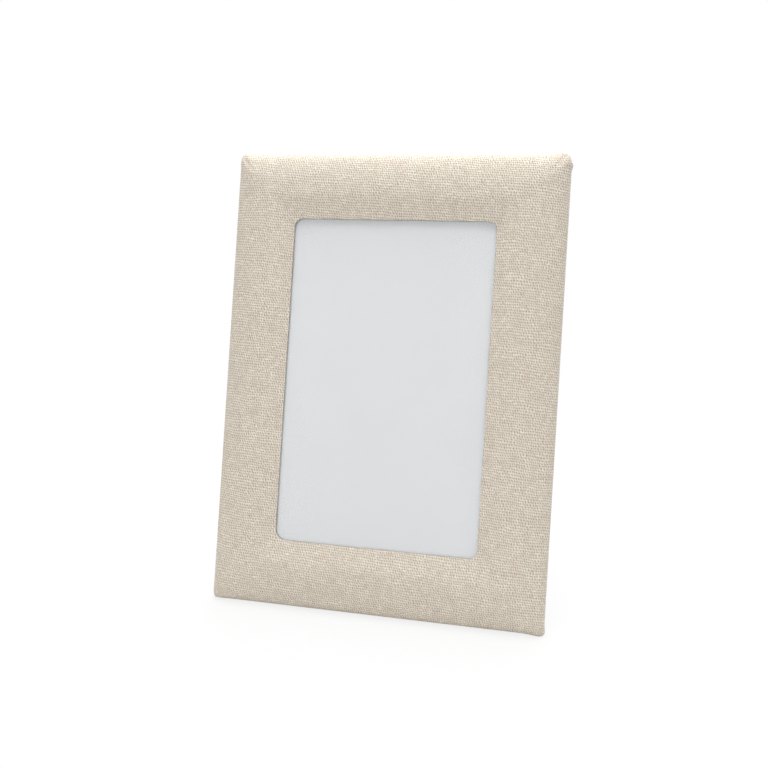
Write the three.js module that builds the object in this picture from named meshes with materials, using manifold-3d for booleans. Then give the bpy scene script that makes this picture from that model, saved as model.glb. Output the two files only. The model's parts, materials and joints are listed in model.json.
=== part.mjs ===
// Padded photo frame covered in linen, standing on a hinged strut.
// Millimetres, +Z up. The picture faces -Y and the frame leans back towards +Y.
// On the frame, inset runs inward from the outer edge and depth runs forward from the rear of the rim.

import * as THREE from "three";
import { mergeVertices } from "three/addons/utils/BufferGeometryUtils.js";
import Module from "manifold-3d";

const wasm = await Module();
wasm.setup();

// Picture, and the covered rails that frame it
const PICTURE_WIDTH = 102;
const PICTURE_HEIGHT = 152;
const LIP_SIDES = 5.45; // how far the rails reach over the picture's left and right edges
const LIP_ENDS = 3.95; // how far they reach over its top and bottom edges
const RAIL_WIDTH = 29.45; // outer edge to window
const LEAN = THREE.MathUtils.degToRad(14);

// Layers, from the rear to the front
const PANEL_THICKNESS = 3;
const CARD_THICKNESS = 3;
const INSERT_THICKNESS = 0.3;
const GLASS_THICKNESS = 0.8;
const FACING_THICKNESS = 0.4;
const LINEN_THICKNESS = 0.4;
const CORE_THICKNESS = 1;
const SEAT_GAP = 0.15; // between layers that stay together
const CLEARANCE = 0.3; // between pieces that move, and in holes
const POCKET_CLEARANCE = 0.5; // round the glass, picture, card and panel

// Dome of the padded rail
const WALL_HEIGHT = 2.4; // the straight part of the outer wall
const CREST_SETBACK = 11.2; // crest to window
const CREST_BEND = 4; // run over which the crest bends into the slope
const WINDOW_SLOPE = THREE.MathUtils.degToRad(16); // of the padding towards the window
const WINDOW_FOLD_RADIUS = 0.1; // under the linen, where it folds back behind the window's edge
const REAR_FOLD_RADIUS = 0.4; // under the linen
const MITRE_RADIUS = 2; // at the outer corners and along the mitres
const WINDOW_CORNER_RADIUS = 3.8;
const FLAP_WIDTH = 12; // linen turned in behind the core board
const TURN_MARGIN = 1.5; // linen on the rear of the rim stops this far from the pocket
const FACING_MARGIN = 4; // linen left showing round the rear facing
const REST_FLAT_DEPTH = 0.4; // the linen is pressed flat by this where it stands

// Turn buttons that hold the back panel in
const BUTTON_SETBACK = 8; // pivot to the pocket's edge
const BUTTON_GRIP = 5.5; // how far a button reaches over the panel
const BUTTON_END_SETBACK = 26; // pivot to the panel's top or bottom edge
const BUTTON_THICKNESS = 0.8;
const BUTTON_ROOT_RADIUS = 4.5;
const BUTTON_TIP_RADIUS = 3;
const SCREW_HEAD_RADIUS = 2.8;
const SCREW_HEAD_HEIGHT = 1.2;
const SCREW_SHANK_RADIUS = 1.1;
const SCREW_GRIP = 3; // thread in the strip
const SCREW_SLOT_WIDTH = 0.7;
const SCREW_SLOT_DEPTH = 0.6;

// Strut and its hinge
const HINGE_DROP = 42.5; // hinge's axis to the panel's top edge
const STRUT_SPREAD = THREE.MathUtils.degToRad(11); // from upright, when open
const STRUT_THICKNESS = 2.5;
const STRUT_TOP_WIDTH = 34;
const STRUT_FOOT_WIDTH = 56;
const STRUT_CORNER_RADIUS = 3;
const HINGE_WIDTH = 28;
const KNUCKLES = 3;
const LEAF_HEIGHT = 14;
const LEAF_THICKNESS = 0.8;
const LEAF_CORNER_RADIUS = 1.5;
const PIN_RADIUS = 0.9;
const PIN_OVERHANG = 0.5;
const RUNNING_CLEARANCE = 0.15; // between the pin and its knuckles
const HINGE_RIVET_SPACING = 16;

// Rivets
const RIVET_SHANK_RADIUS = 1;
const RIVET_HEAD_RADIUS = 2.2;
const RIVET_HEAD_HEIGHT = 0.7;
const RIVET_FLARE_RADIUS = 1.7;
const RIVET_FLARE_HEIGHT = 0.5;

// Ribbon that stops the strut
const RIBBON_WIDTH = 10;
const RIBBON_THICKNESS = 0.4;
const RIBBON_RISE = 17.5; // from the panel's bottom edge to the ribbon
const RIBBON_TAB = 10;
const RIBBON_BEND = 3;

// Facets
const CORNER_STEPS = 4;
const DOME_STEPS = 8;
const SLOPE_STEPS = 8;
const EDGE_STEPS = 3;
const ROUND_SIDES = 16;
const MERGE_TOLERANCE = 1e-4;

// Sizes worked out from the values above
const WINDOW_WIDTH = PICTURE_WIDTH - 2 * LIP_SIDES;
const WINDOW_HEIGHT = PICTURE_HEIGHT - 2 * LIP_ENDS;
const FRAME_WIDTH = WINDOW_WIDTH + 2 * RAIL_WIDTH;
const FRAME_HEIGHT = WINDOW_HEIGHT + 2 * RAIL_WIDTH;
const CENTRE_HEIGHT = FRAME_HEIGHT / 2;
const PANEL_BOTTOM = CENTRE_HEIGHT - PICTURE_HEIGHT / 2;
const PANEL_TOP = CENTRE_HEIGHT + PICTURE_HEIGHT / 2;
const POCKET_WIDTH = PICTURE_WIDTH + 2 * POCKET_CLEARANCE;
const POCKET_HEIGHT = PICTURE_HEIGHT + 2 * POCKET_CLEARANCE;

const CARD_DEPTH = PANEL_THICKNESS + SEAT_GAP;
const INSERT_DEPTH = CARD_DEPTH + CARD_THICKNESS + SEAT_GAP;
const GLASS_DEPTH = INSERT_DEPTH + INSERT_THICKNESS + SEAT_GAP;
const GLASS_FRONT = GLASS_DEPTH + GLASS_THICKNESS;
const LINEN_REAR = FACING_THICKNESS + SEAT_GAP;
const STRIP_REAR = LINEN_REAR + LINEN_THICKNESS + SEAT_GAP;
const STRIP_FRONT = GLASS_FRONT;
const FLAP_REAR = GLASS_FRONT + SEAT_GAP;
const CORE_REAR = FLAP_REAR + LINEN_THICKNESS + SEAT_GAP;
const CORE_FRONT = CORE_REAR + CORE_THICKNESS;
const FOAM_REAR = CORE_FRONT + SEAT_GAP;
const COVER_OFFSET = LINEN_THICKNESS + SEAT_GAP; // linen's face to what lies under it
const WINDOW_EDGE_RADIUS = WINDOW_FOLD_RADIUS + COVER_OFFSET;
const WINDOW_FOLD_DEPTH = FLAP_REAR + WINDOW_EDGE_RADIUS; // middle of the fold
const SLOPE_RUN = CREST_SETBACK - WINDOW_EDGE_RADIUS * (1 - Math.sin(WINDOW_SLOPE));
const SLOPE_FOOT = WINDOW_FOLD_DEPTH + WINDOW_EDGE_RADIUS * Math.cos(WINDOW_SLOPE);
const CREST_DEPTH = SLOPE_FOOT + slopeFall(SLOPE_RUN);
const CREST_INSET = RAIL_WIDTH - CREST_SETBACK;
const REAR_EDGE_RADIUS = REAR_FOLD_RADIUS + LINEN_THICKNESS;
const WALL_DEPTH = LINEN_REAR + REAR_EDGE_RADIUS + WALL_HEIGHT; // where the dome starts
const REAR_TURN_INSET = Math.min(FRAME_WIDTH - POCKET_WIDTH, FRAME_HEIGHT - POCKET_HEIGHT) / 2 - TURN_MARGIN;

const BUTTON_X = POCKET_WIDTH / 2 + BUTTON_SETBACK;
const BUTTON_HEIGHTS = { lower: PANEL_BOTTOM + BUTTON_END_SETBACK, upper: PANEL_TOP - BUTTON_END_SETBACK };
const SIDES = { left: -1, right: 1 };
const SCREW_HOLE_RADIUS = SCREW_SHANK_RADIUS + CLEARANCE;

const KNUCKLE_BORE = PIN_RADIUS + RUNNING_CLEARANCE;
const KNUCKLE_RADIUS = KNUCKLE_BORE + LEAF_THICKNESS;
const KNUCKLE_LENGTH = (HINGE_WIDTH - (KNUCKLES - 1) * CLEARANCE) / KNUCKLES;
const LEAF_START = KNUCKLE_RADIUS + CLEARANCE; // leaf's plate to the hinge's axis
const LEAF_REAR = CLEARANCE + LEAF_THICKNESS; // above the panel
const HINGE_HEIGHT = PANEL_TOP - HINGE_DROP;
const HINGE_Y = CLEARANCE + KNUCKLE_RADIUS;
const STRUT_OPENING = LEAN + STRUT_SPREAD;
const STRUT_FRONT = LEAF_REAR + CLEARANCE - HINGE_Y; // from the hinge's axis, in the strut's own frame
const STRUT_REAR = STRUT_FRONT + STRUT_THICKNESS;
const STRUT_TOP = LEAF_START + CLEARANCE; // below the hinge's axis
const HINGE_RIVET_DROP = (LEAF_START + LEAF_HEIGHT) / 2; // axis to the rivets, on both leaves
const RIVET_HOLE_RADIUS = RIVET_SHANK_RADIUS + CLEARANCE;
const RIVET_POCKET_RADIUS = RIVET_FLARE_RADIUS + CLEARANCE;
const RIVET_POCKET_DEPTH = RIVET_FLARE_HEIGHT + 2 * CLEARANCE;
const RIBBON_HEIGHT = PANEL_BOTTOM + RIBBON_RISE;
const RIBBON_REACH = HINGE_HEIGHT - RIBBON_HEIGHT; // hinge to ribbon, along the panel and along the strut
const RIBBON_RIVET_RISE = (RIBBON_TAB + RIBBON_BEND) / 2; // from the ribbon's bend to its rivet

// Materials
function finish(color, roughness, metalness = 0) {
  return new THREE.MeshStandardMaterial({ color, roughness, metalness });
}

const LINEN = finish(0xd6cbb9, 0.95);
const FOAM = finish(0xefe6c8, 1);
const GREY_BOARD = finish(0xa9a59b, 0.9);
const SOFTWOOD = finish(0xcdb088, 0.8);
const FACING_PAPER = finish(0x3a3633, 0.9);
const CLEAR_GLASS = finish(0xe4ecea, 0.05);
const WHITE_PAPER = finish(0xe9eaec, 0.7);
const FLOCKED_BOARD = finish(0x35312e, 1);
const STEEL = finish(0xb9b9b6, 0.35, 1);
const RIBBON_SATIN = finish(0x4a443f, 0.5);

// Booleans
function solid(geometry) {
  const bare = new THREE.BufferGeometry();
  bare.setAttribute("position", geometry.getAttribute("position"));
  bare.setIndex(geometry.index);
  const merged = mergeVertices(bare, MERGE_TOLERANCE);
  const triVerts = new Uint32Array(merged.index.array);
  const vertProperties = merged.getAttribute("position").array;
  return new wasm.Manifold(new wasm.Mesh({ numProp: 3, vertProperties, triVerts }));
}

function geometryOf(shape) {
  const mesh = shape.getMesh();
  const geometry = new THREE.BufferGeometry();
  geometry.setAttribute("position", new THREE.BufferAttribute(mesh.vertProperties, mesh.numProp));
  geometry.setIndex(new THREE.BufferAttribute(mesh.triVerts, 1));
  const faceted = geometry.toNonIndexed();
  faceted.computeVertexNormals();
  return faceted;
}

function cut(geometry, tools) {
  const cutShape = tools.reduce((shape, tool) => shape.subtract(solid(tool)), solid(geometry));
  return geometryOf(cutShape);
}

function join(geometries) {
  const [first, ...others] = geometries.map(solid);
  return geometryOf(others.reduce((shape, other) => shape.add(other), first));
}

// Removes what lies under the floor, for a piece that the given matrix places.
function trimAtFloor(geometry, matrix) {
  const size = FRAME_WIDTH + FRAME_HEIGHT;
  const floor = new THREE.BoxGeometry(size, size, size);
  floor.translate(0, 0, -size / 2);
  floor.applyMatrix4(matrix.clone().invert());
  return cut(geometry, [floor]);
}

// Simple shapes
// A flat outline in X and Z, as a plate from y to y + thickness.
function plate(outline, y, thickness) {
  const options = { depth: thickness, bevelEnabled: false, curveSegments: ROUND_SIDES / 4 };
  const geometry = new THREE.ExtrudeGeometry(outline, options);
  geometry.rotateX(Math.PI / 2);
  geometry.translate(0, y + thickness, 0);
  return geometry;
}

function box(width, y, thickness, bottom, height, x = 0) {
  const geometry = new THREE.BoxGeometry(width, thickness, height);
  geometry.translate(x, y + thickness / 2, bottom + height / 2);
  return geometry;
}

// A round pin along Y.
function roundPin(radius, from, to, x, z) {
  const geometry = new THREE.CylinderGeometry(radius, radius, to - from, ROUND_SIDES);
  geometry.translate(x, (from + to) / 2, z);
  return geometry;
}

// A round bar along X.
function roundBar(radius, length, x) {
  const geometry = new THREE.CylinderGeometry(radius, radius, length, ROUND_SIDES);
  geometry.rotateZ(Math.PI / 2);
  geometry.translate(x, 0, 0);
  return geometry;
}

// A rectangle with its own radius at each end of its height.
function roundedOutline(left, right, bottom, top, bottomRadius, topRadius) {
  const outline = new THREE.Shape();
  outline.moveTo(left + bottomRadius, bottom);
  outline.lineTo(right - bottomRadius, bottom);
  outline.absarc(right - bottomRadius, bottom + bottomRadius, bottomRadius, -Math.PI / 2, 0);
  outline.lineTo(right, top - topRadius);
  outline.absarc(right - topRadius, top - topRadius, topRadius, 0, Math.PI / 2);
  outline.lineTo(left + topRadius, top);
  outline.absarc(left + topRadius, top - topRadius, topRadius, Math.PI / 2, Math.PI);
  outline.lineTo(left, bottom + bottomRadius);
  outline.absarc(left + bottomRadius, bottom + bottomRadius, bottomRadius, Math.PI, 1.5 * Math.PI);
  return outline;
}

// Profile of the padded rail, as points of inset (x) and depth (y)
function point(inset, depth) {
  return new THREE.Vector2(inset, depth);
}

// Points along a formula, from its start to its end.
function along(steps, formula) {
  return Array.from({ length: steps + 1 }, (_, step) => formula(step / steps));
}

// How far the padding falls over a run from its crest: it bends, then goes straight to the window.
function slopeFall(run) {
  const bent = Math.min(run, CREST_BEND);
  return Math.tan(WINDOW_SLOPE) * (run - bent + (bent * bent) / (2 * CREST_BEND));
}

// The linen's face: rear of the rim, outer wall, dome, window edge, and the flap behind the core board.
function facePath() {
  const quarter = Math.PI / 2;
  const domeRise = CREST_DEPTH - WALL_DEPTH;
  const rearEdge = along(EDGE_STEPS, (t) =>
    point(
      REAR_EDGE_RADIUS * (1 - Math.sin(t * quarter)),
      LINEN_REAR + REAR_EDGE_RADIUS * (1 - Math.cos(t * quarter)),
    ),
  );
  const dome = along(DOME_STEPS, (t) =>
    point(CREST_INSET * (1 - Math.cos(t * quarter)), WALL_DEPTH + domeRise * Math.sin(t * quarter)),
  );
  const slope = along(SLOPE_STEPS, (t) =>
    point(CREST_INSET + SLOPE_RUN * t, CREST_DEPTH - slopeFall(SLOPE_RUN * t)),
  );
  const windowFold = along(2 * EDGE_STEPS, (t) => {
    const angle = THREE.MathUtils.lerp(WINDOW_SLOPE, Math.PI, t);
    const inset = RAIL_WIDTH - WINDOW_EDGE_RADIUS * (1 - Math.sin(angle));
    return point(inset, WINDOW_FOLD_DEPTH + WINDOW_EDGE_RADIUS * Math.cos(angle));
  });
  return [
    point(REAR_TURN_INSET, LINEN_REAR),
    ...rearEdge,
    ...dome,
    ...slope.slice(1, -1),
    ...windowFold,
    point(RAIL_WIDTH - FLAP_WIDTH, FLAP_REAR),
  ];
}

// The same path moved to the right of its direction, with mitred corners.
function offsetPath(path, distance) {
  const normals = path.slice(1).map((end, i) => {
    const run = end.clone().sub(path[i]).normalize();
    return new THREE.Vector2(run.y, -run.x);
  });
  return path.map((vertex, i) => {
    const before = normals[Math.max(i - 1, 0)];
    const after = normals[Math.min(i, normals.length - 1)];
    const mitre = before.clone().add(after).normalize();
    return vertex.clone().addScaledVector(mitre, distance / mitre.dot(after));
  });
}

// Where a path first rises to a depth.
function insetAt(path, depth) {
  const next = path.findIndex((vertex, i) => i > 0 && vertex.y >= depth && path[i - 1].y < depth);
  const [low, high] = [path[next - 1], path[next]];
  return THREE.MathUtils.mapLinear(depth, low.y, high.y, low.x, high.x);
}

// Corner radius of the ring at an inset: small outside and along the mitre, larger at the window.
function cornerRadius(inset) {
  const band = WINDOW_EDGE_RADIUS + COVER_OFFSET;
  const windowRadius = WINDOW_CORNER_RADIUS + Math.min(RAIL_WIDTH - inset, band);
  const share = THREE.MathUtils.smoothstep(inset, CREST_INSET, RAIL_WIDTH - band);
  return THREE.MathUtils.lerp(MITRE_RADIUS, windowRadius, share);
}

function ring(inset, depth) {
  const radius = cornerRadius(inset);
  const x = FRAME_WIDTH / 2 - inset - radius;
  const z = FRAME_HEIGHT / 2 - inset - radius;
  const corners = [
    [x, z],
    [-x, z],
    [-x, -z],
    [x, -z],
  ];
  return corners.flatMap(([cornerX, cornerZ], corner) =>
    along(CORNER_STEPS, (t) => {
      const angle = ((corner + t) * Math.PI) / 2;
      return [cornerX + radius * Math.cos(angle), -depth, CENTRE_HEIGHT + cornerZ + radius * Math.sin(angle)];
    }),
  );
}

// Carries a closed profile round the frame.
function ringLoft(profile) {
  const rings = profile.map((vertex) => ring(vertex.x, vertex.y));
  const count = rings[0].length;
  const index = [];
  for (let i = 0; i < rings.length; i++) {
    const near = i * count;
    const far = ((i + 1) % rings.length) * count;
    for (let j = 0; j < count; j++) {
      const k = (j + 1) % count;
      index.push(near + j, near + k, far + k);
      index.push(near + j, far + k, far + j);
    }
  }
  const geometry = new THREE.BufferGeometry();
  geometry.setAttribute("position", new THREE.Float32BufferAttribute(rings.flat(2), 3));
  geometry.setIndex(index);
  const faceted = geometry.toNonIndexed();
  faceted.computeVertexNormals();
  return faceted;
}

// A turned rivet along Y: a flared end that starts at flareY, and a head that starts at headY.
function rivetGeometry(flareY, headY) {
  const dome = along(EDGE_STEPS, (t) => {
    const angle = (t * Math.PI) / 2;
    return [RIVET_HEAD_RADIUS * Math.cos(angle), headY + RIVET_HEAD_HEIGHT * Math.sin(angle)];
  });
  const profile = [
    [0, flareY],
    [RIVET_FLARE_RADIUS, flareY],
    [RIVET_SHANK_RADIUS, flareY + RIVET_FLARE_HEIGHT],
    [RIVET_SHANK_RADIUS, headY],
    ...dome,
  ];
  const points = profile.map(([radius, y]) => new THREE.Vector2(radius, y));
  return new THREE.LatheGeometry(points, ROUND_SIDES);
}

// The hole for a rivet through a board, with a pocket for the flared end in the board's front.
function rivetHole(front, rear, x, z) {
  const through = roundPin(RIVET_HOLE_RADIUS, front - CLEARANCE, rear + CLEARANCE, x, z);
  const pocket = roundPin(RIVET_POCKET_RADIUS, front - CLEARANCE, front + RIVET_POCKET_DEPTH, x, z);
  return [through, pocket];
}

// Assembly
const root = new THREE.Group();
const assembly = new THREE.Group();
const leaningFrame = new THREE.Group();
const strut = new THREE.Group();
root.add(assembly);
assembly.add(leaningFrame);
leaningFrame.add(strut);

function add(group, name, geometry, material) {
  const mesh = new THREE.Mesh(geometry, material);
  mesh.name = name;
  group.add(mesh);
  return mesh;
}

const face = facePath();
const lining = offsetPath(face, LINEN_THICKNESS);
const padding = offsetPath(face, COVER_OFFSET);

// The frame leans back until its lower rear edge is the lowest, pressed flat on the floor.
function floorReach(vertex) {
  return vertex.y * Math.sin(LEAN) + vertex.x * Math.cos(LEAN);
}
leaningFrame.rotation.x = -LEAN;
leaningFrame.position.z = -Math.min(...face.map(floorReach)) - REST_FLAT_DEPTH;
strut.position.set(0, HINGE_Y, HINGE_HEIGHT);
strut.rotation.x = STRUT_OPENING;
root.updateMatrixWorld(true);

const buttonPlaces = Object.entries(BUTTON_HEIGHTS).flatMap(([level, z]) =>
  Object.entries(SIDES).map(([side, sign]) => ({ name: `${level}_${side}`, x: sign * BUTTON_X, z, sign })),
);

function screwHoles(front) {
  return buttonPlaces.map(({ x, z }) => roundPin(SCREW_HOLE_RADIUS, -front, CLEARANCE, x, z));
}

// Linen drawn over the rail, turned in behind the core board and over the rear of the rim
function addLinenCover() {
  const skin = ringLoft([...face, ...lining.toReversed()]);
  const pierced = cut(skin, screwHoles(STRIP_REAR));
  add(leaningFrame, "linen_cover", trimAtFloor(pierced, leaningFrame.matrixWorld), LINEN);
}

// The core board stops where the foam on it would be too thin.
const coreInner = insetAt(padding.toReversed(), FOAM_REAR + CLEARANCE);

// Foam under the linen: it lies on the core board and tapers past it into the fold at the window
function addFoamPad() {
  const outerCrown = padding.filter(({ x, y }) => x <= CREST_INSET && y > FOAM_REAR + CLEARANCE);
  const windowCrown = padding.filter(({ x, y }) => x > CREST_INSET && y > WINDOW_FOLD_DEPTH);
  const section = [
    point(insetAt(padding, FOAM_REAR), FOAM_REAR),
    ...outerCrown,
    ...windowCrown,
    point(RAIL_WIDTH - WINDOW_EDGE_RADIUS, CORE_REAR),
    point(coreInner + SEAT_GAP, CORE_REAR),
    point(coreInner + SEAT_GAP, FOAM_REAR),
  ];
  add(leaningFrame, "foam_pad", ringLoft(section), FOAM);
}

function addCoreBoard() {
  const outer = insetAt(padding, CORE_FRONT);
  const section = [
    point(outer, CORE_REAR),
    point(outer, CORE_FRONT),
    point(coreInner, CORE_FRONT),
    point(coreInner, CORE_REAR),
  ];
  add(leaningFrame, "core_board", ringLoft(section), GREY_BOARD);
}

// Strips glued behind the core board: they make the pocket for the glass and picture
function addRebateStrips() {
  const inset = insetAt(padding, STRIP_FRONT);
  const radius = cornerRadius(inset);
  const halfWidth = FRAME_WIDTH / 2 - inset;
  const pocketX = POCKET_WIDTH / 2;
  const pocketBottom = CENTRE_HEIGHT - POCKET_HEIGHT / 2;
  const pocketTop = CENTRE_HEIGHT + POCKET_HEIGHT / 2;
  const thickness = STRIP_FRONT - STRIP_REAR;
  const bottom = roundedOutline(-halfWidth, halfWidth, inset, pocketBottom, radius, 0);
  const top = roundedOutline(-halfWidth, halfWidth, pocketTop, FRAME_HEIGHT - inset, 0, radius);
  add(leaningFrame, "rebate_strip_bottom", plate(bottom, -STRIP_FRONT, thickness), SOFTWOOD);
  add(leaningFrame, "rebate_strip_top", plate(top, -STRIP_FRONT, thickness), SOFTWOOD);
  for (const [side, sign] of Object.entries(SIDES)) {
    const bar = box(
      halfWidth - pocketX,
      -STRIP_FRONT,
      thickness,
      pocketBottom + CLEARANCE,
      POCKET_HEIGHT - 2 * CLEARANCE,
      (sign * (halfWidth + pocketX)) / 2,
    );
    const holes = screwHoles(STRIP_REAR + SCREW_GRIP + CLEARANCE);
    add(leaningFrame, `rebate_strip_${side}`, cut(bar, holes), SOFTWOOD);
  }
}

// Paper that hides the linen's raw edge on the rear of the rim
function addRearFacing() {
  const outline = roundedOutline(
    FACING_MARGIN - FRAME_WIDTH / 2,
    FRAME_WIDTH / 2 - FACING_MARGIN,
    FACING_MARGIN,
    FRAME_HEIGHT - FACING_MARGIN,
    MITRE_RADIUS,
    MITRE_RADIUS,
  );
  const sheet = plate(outline, -FACING_THICKNESS, FACING_THICKNESS);
  const pocket = box(
    POCKET_WIDTH,
    -FACING_THICKNESS - CLEARANCE,
    FACING_THICKNESS + 2 * CLEARANCE,
    CENTRE_HEIGHT - POCKET_HEIGHT / 2,
    POCKET_HEIGHT,
  );
  add(leaningFrame, "rear_facing", cut(sheet, [pocket, ...screwHoles(LINEN_REAR)]), FACING_PAPER);
}

// Glass, picture, card and back panel, stacked in the pocket
function pocketSheet(depth, thickness) {
  return box(PICTURE_WIDTH, -depth - thickness, thickness, PANEL_BOTTOM, PICTURE_HEIGHT);
}

const hingeRivetXs = Object.entries(SIDES).map(([side, sign]) => [side, (sign * HINGE_RIVET_SPACING) / 2]);

function addPocketStack() {
  add(leaningFrame, "glass_pane", pocketSheet(GLASS_DEPTH, GLASS_THICKNESS), CLEAR_GLASS);
  add(leaningFrame, "picture_insert", pocketSheet(INSERT_DEPTH, INSERT_THICKNESS), WHITE_PAPER);
  add(leaningFrame, "backing_card", pocketSheet(CARD_DEPTH, CARD_THICKNESS), GREY_BOARD);
  const leafHoles = hingeRivetXs.flatMap(([, x]) =>
    rivetHole(-PANEL_THICKNESS, 0, x, HINGE_HEIGHT + HINGE_RIVET_DROP),
  );
  const ribbonHole = rivetHole(-PANEL_THICKNESS, 0, 0, RIBBON_HEIGHT + RIBBON_RIVET_RISE);
  const panel = cut(pocketSheet(0, PANEL_THICKNESS), [...leafHoles, ...ribbonHole]);
  add(leaningFrame, "back_panel", panel, FLOCKED_BOARD);
}

// Turn buttons, each on a slotted screw
function buttonOutline(sign) {
  const reach = BUTTON_SETBACK + BUTTON_GRIP - BUTTON_TIP_RADIUS;
  const outline = new THREE.Shape();
  outline.absarc(0, 0, BUTTON_ROOT_RADIUS, Math.PI / 2, 1.5 * Math.PI);
  outline.absarc(reach, 0, BUTTON_TIP_RADIUS, -Math.PI / 2, Math.PI / 2);
  outline.closePath();
  const hole = new THREE.Path();
  hole.absarc(0, 0, SCREW_HOLE_RADIUS, 0, 2 * Math.PI);
  outline.holes.push(hole);
  const geometry = plate(outline, CLEARANCE, BUTTON_THICKNESS);
  if (sign > 0) {
    geometry.rotateY(Math.PI);
  }
  return geometry;
}

function screwGeometry() {
  const headY = 2 * CLEARANCE + BUTTON_THICKNESS;
  const headTop = headY + SCREW_HEAD_HEIGHT;
  const profile = [
    [0, -STRIP_REAR - SCREW_GRIP],
    [SCREW_SHANK_RADIUS, -STRIP_REAR - SCREW_GRIP + SCREW_SHANK_RADIUS],
    [SCREW_SHANK_RADIUS, headY],
    [SCREW_HEAD_RADIUS, headY],
    [SCREW_HEAD_RADIUS, headY + SCREW_HEAD_HEIGHT / 2],
    [SCREW_HEAD_RADIUS - SCREW_HEAD_HEIGHT / 2, headTop],
    [0, headTop],
  ];
  const points = profile.map(([radius, y]) => new THREE.Vector2(radius, y));
  const slotLength = 2 * SCREW_HEAD_RADIUS + CLEARANCE;
  const slotFloor = headTop - SCREW_SLOT_DEPTH;
  const slot = box(slotLength, slotFloor, SCREW_HEAD_HEIGHT, -SCREW_SLOT_WIDTH / 2, SCREW_SLOT_WIDTH);
  return cut(new THREE.LatheGeometry(points, ROUND_SIDES), [slot]);
}

function addTurnButtons() {
  for (const { name, x, z, sign } of buttonPlaces) {
    const button = add(leaningFrame, `turn_button_${name}`, buttonOutline(sign), STEEL);
    const screw = add(leaningFrame, `turn_screw_${name}`, screwGeometry(), STEEL);
    button.position.set(x, 0, z);
    screw.position.set(x, 0, z);
  }
}

// A hinge leaf about the hinge's axis: a plate, its own knuckles and two rivet holes.
function leafGeometry(knuckleXs) {
  const front = CLEARANCE - HINGE_Y;
  const halfWidth = HINGE_WIDTH / 2;
  const outline = roundedOutline(-halfWidth, halfWidth, LEAF_START, LEAF_HEIGHT, 0, LEAF_CORNER_RADIUS);
  const knuckles = knuckleXs.flatMap((x) => [
    roundBar(KNUCKLE_RADIUS, KNUCKLE_LENGTH, x),
    box(KNUCKLE_LENGTH, front, LEAF_THICKNESS, 0, LEAF_START + CLEARANCE, x),
  ]);
  const bore = roundBar(KNUCKLE_BORE, 2 * HINGE_WIDTH, 0);
  const holes = hingeRivetXs.map(([, x]) => {
    const [narrow, wide] = [RIVET_HOLE_RADIUS, RIVET_POCKET_RADIUS];
    const countersink = new THREE.CylinderGeometry(narrow, wide, LEAF_THICKNESS, ROUND_SIDES);
    return countersink.translate(x, front + LEAF_THICKNESS / 2, HINGE_RIVET_DROP);
  });
  return cut(join([plate(outline, front, LEAF_THICKNESS), ...knuckles]), [bore, ...holes]);
}

function addHinge() {
  const knuckleStep = KNUCKLE_LENGTH + CLEARANCE;
  const panelLeaf = add(leaningFrame, "hinge_leaf_panel", leafGeometry([-knuckleStep, knuckleStep]), STEEL);
  panelLeaf.position.copy(strut.position);
  const strutLeaf = add(strut, "hinge_leaf_strut", leafGeometry([0]), STEEL);
  strutLeaf.rotation.y = Math.PI;
  const pin = roundBar(PIN_RADIUS, HINGE_WIDTH + 2 * PIN_OVERHANG, 0);
  add(leaningFrame, "hinge_pin", pin, STEEL).position.copy(strut.position);
  for (const [side, x] of hingeRivetXs) {
    const panelRivet = rivetGeometry(CLEARANCE - PANEL_THICKNESS, LEAF_REAR + CLEARANCE);
    const onPanel = add(leaningFrame, `hinge_rivet_panel_${side}`, panelRivet, STEEL);
    onPanel.position.set(x, 0, HINGE_HEIGHT + HINGE_RIVET_DROP);
    const strutRivet = rivetGeometry(CLEARANCE - HINGE_Y, STRUT_REAR + CLEARANCE);
    const onStrut = add(strut, `hinge_rivet_strut_${side}`, strutRivet, STEEL);
    onStrut.position.set(x, 0, -HINGE_RIVET_DROP);
  }
}

// Strut: a board that widens to its foot, cut to stand flat on the floor
function addStrutBoard() {
  const hingeAboveFloor = new THREE.Vector3().setFromMatrixPosition(strut.matrixWorld).z;
  const length = hingeAboveFloor / Math.cos(STRUT_SPREAD) + STRUT_THICKNESS;
  const topX = STRUT_TOP_WIDTH / 2;
  const footX = STRUT_FOOT_WIDTH / 2;
  const outline = new THREE.Shape();
  outline.moveTo(-footX, -length);
  outline.lineTo(footX, -length);
  outline.lineTo(topX, -STRUT_TOP - STRUT_CORNER_RADIUS);
  outline.quadraticCurveTo(topX, -STRUT_TOP, topX - STRUT_CORNER_RADIUS, -STRUT_TOP);
  outline.lineTo(STRUT_CORNER_RADIUS - topX, -STRUT_TOP);
  outline.quadraticCurveTo(-topX, -STRUT_TOP, -topX, -STRUT_TOP - STRUT_CORNER_RADIUS);
  outline.closePath();
  const hingeHoles = hingeRivetXs.map(([, x]) => [x, -HINGE_RIVET_DROP]);
  const holes = [...hingeHoles, [0, RIBBON_RIVET_RISE - RIBBON_REACH]];
  const drills = holes.map(([x, z]) =>
    roundPin(RIVET_HOLE_RADIUS, STRUT_FRONT - CLEARANCE, STRUT_REAR + CLEARANCE, x, z),
  );
  const board = cut(plate(outline, STRUT_FRONT, STRUT_THICKNESS), drills);
  add(strut, "strut_board", trimAtFloor(board, strut.matrixWorld), FLOCKED_BOARD);
}

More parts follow.
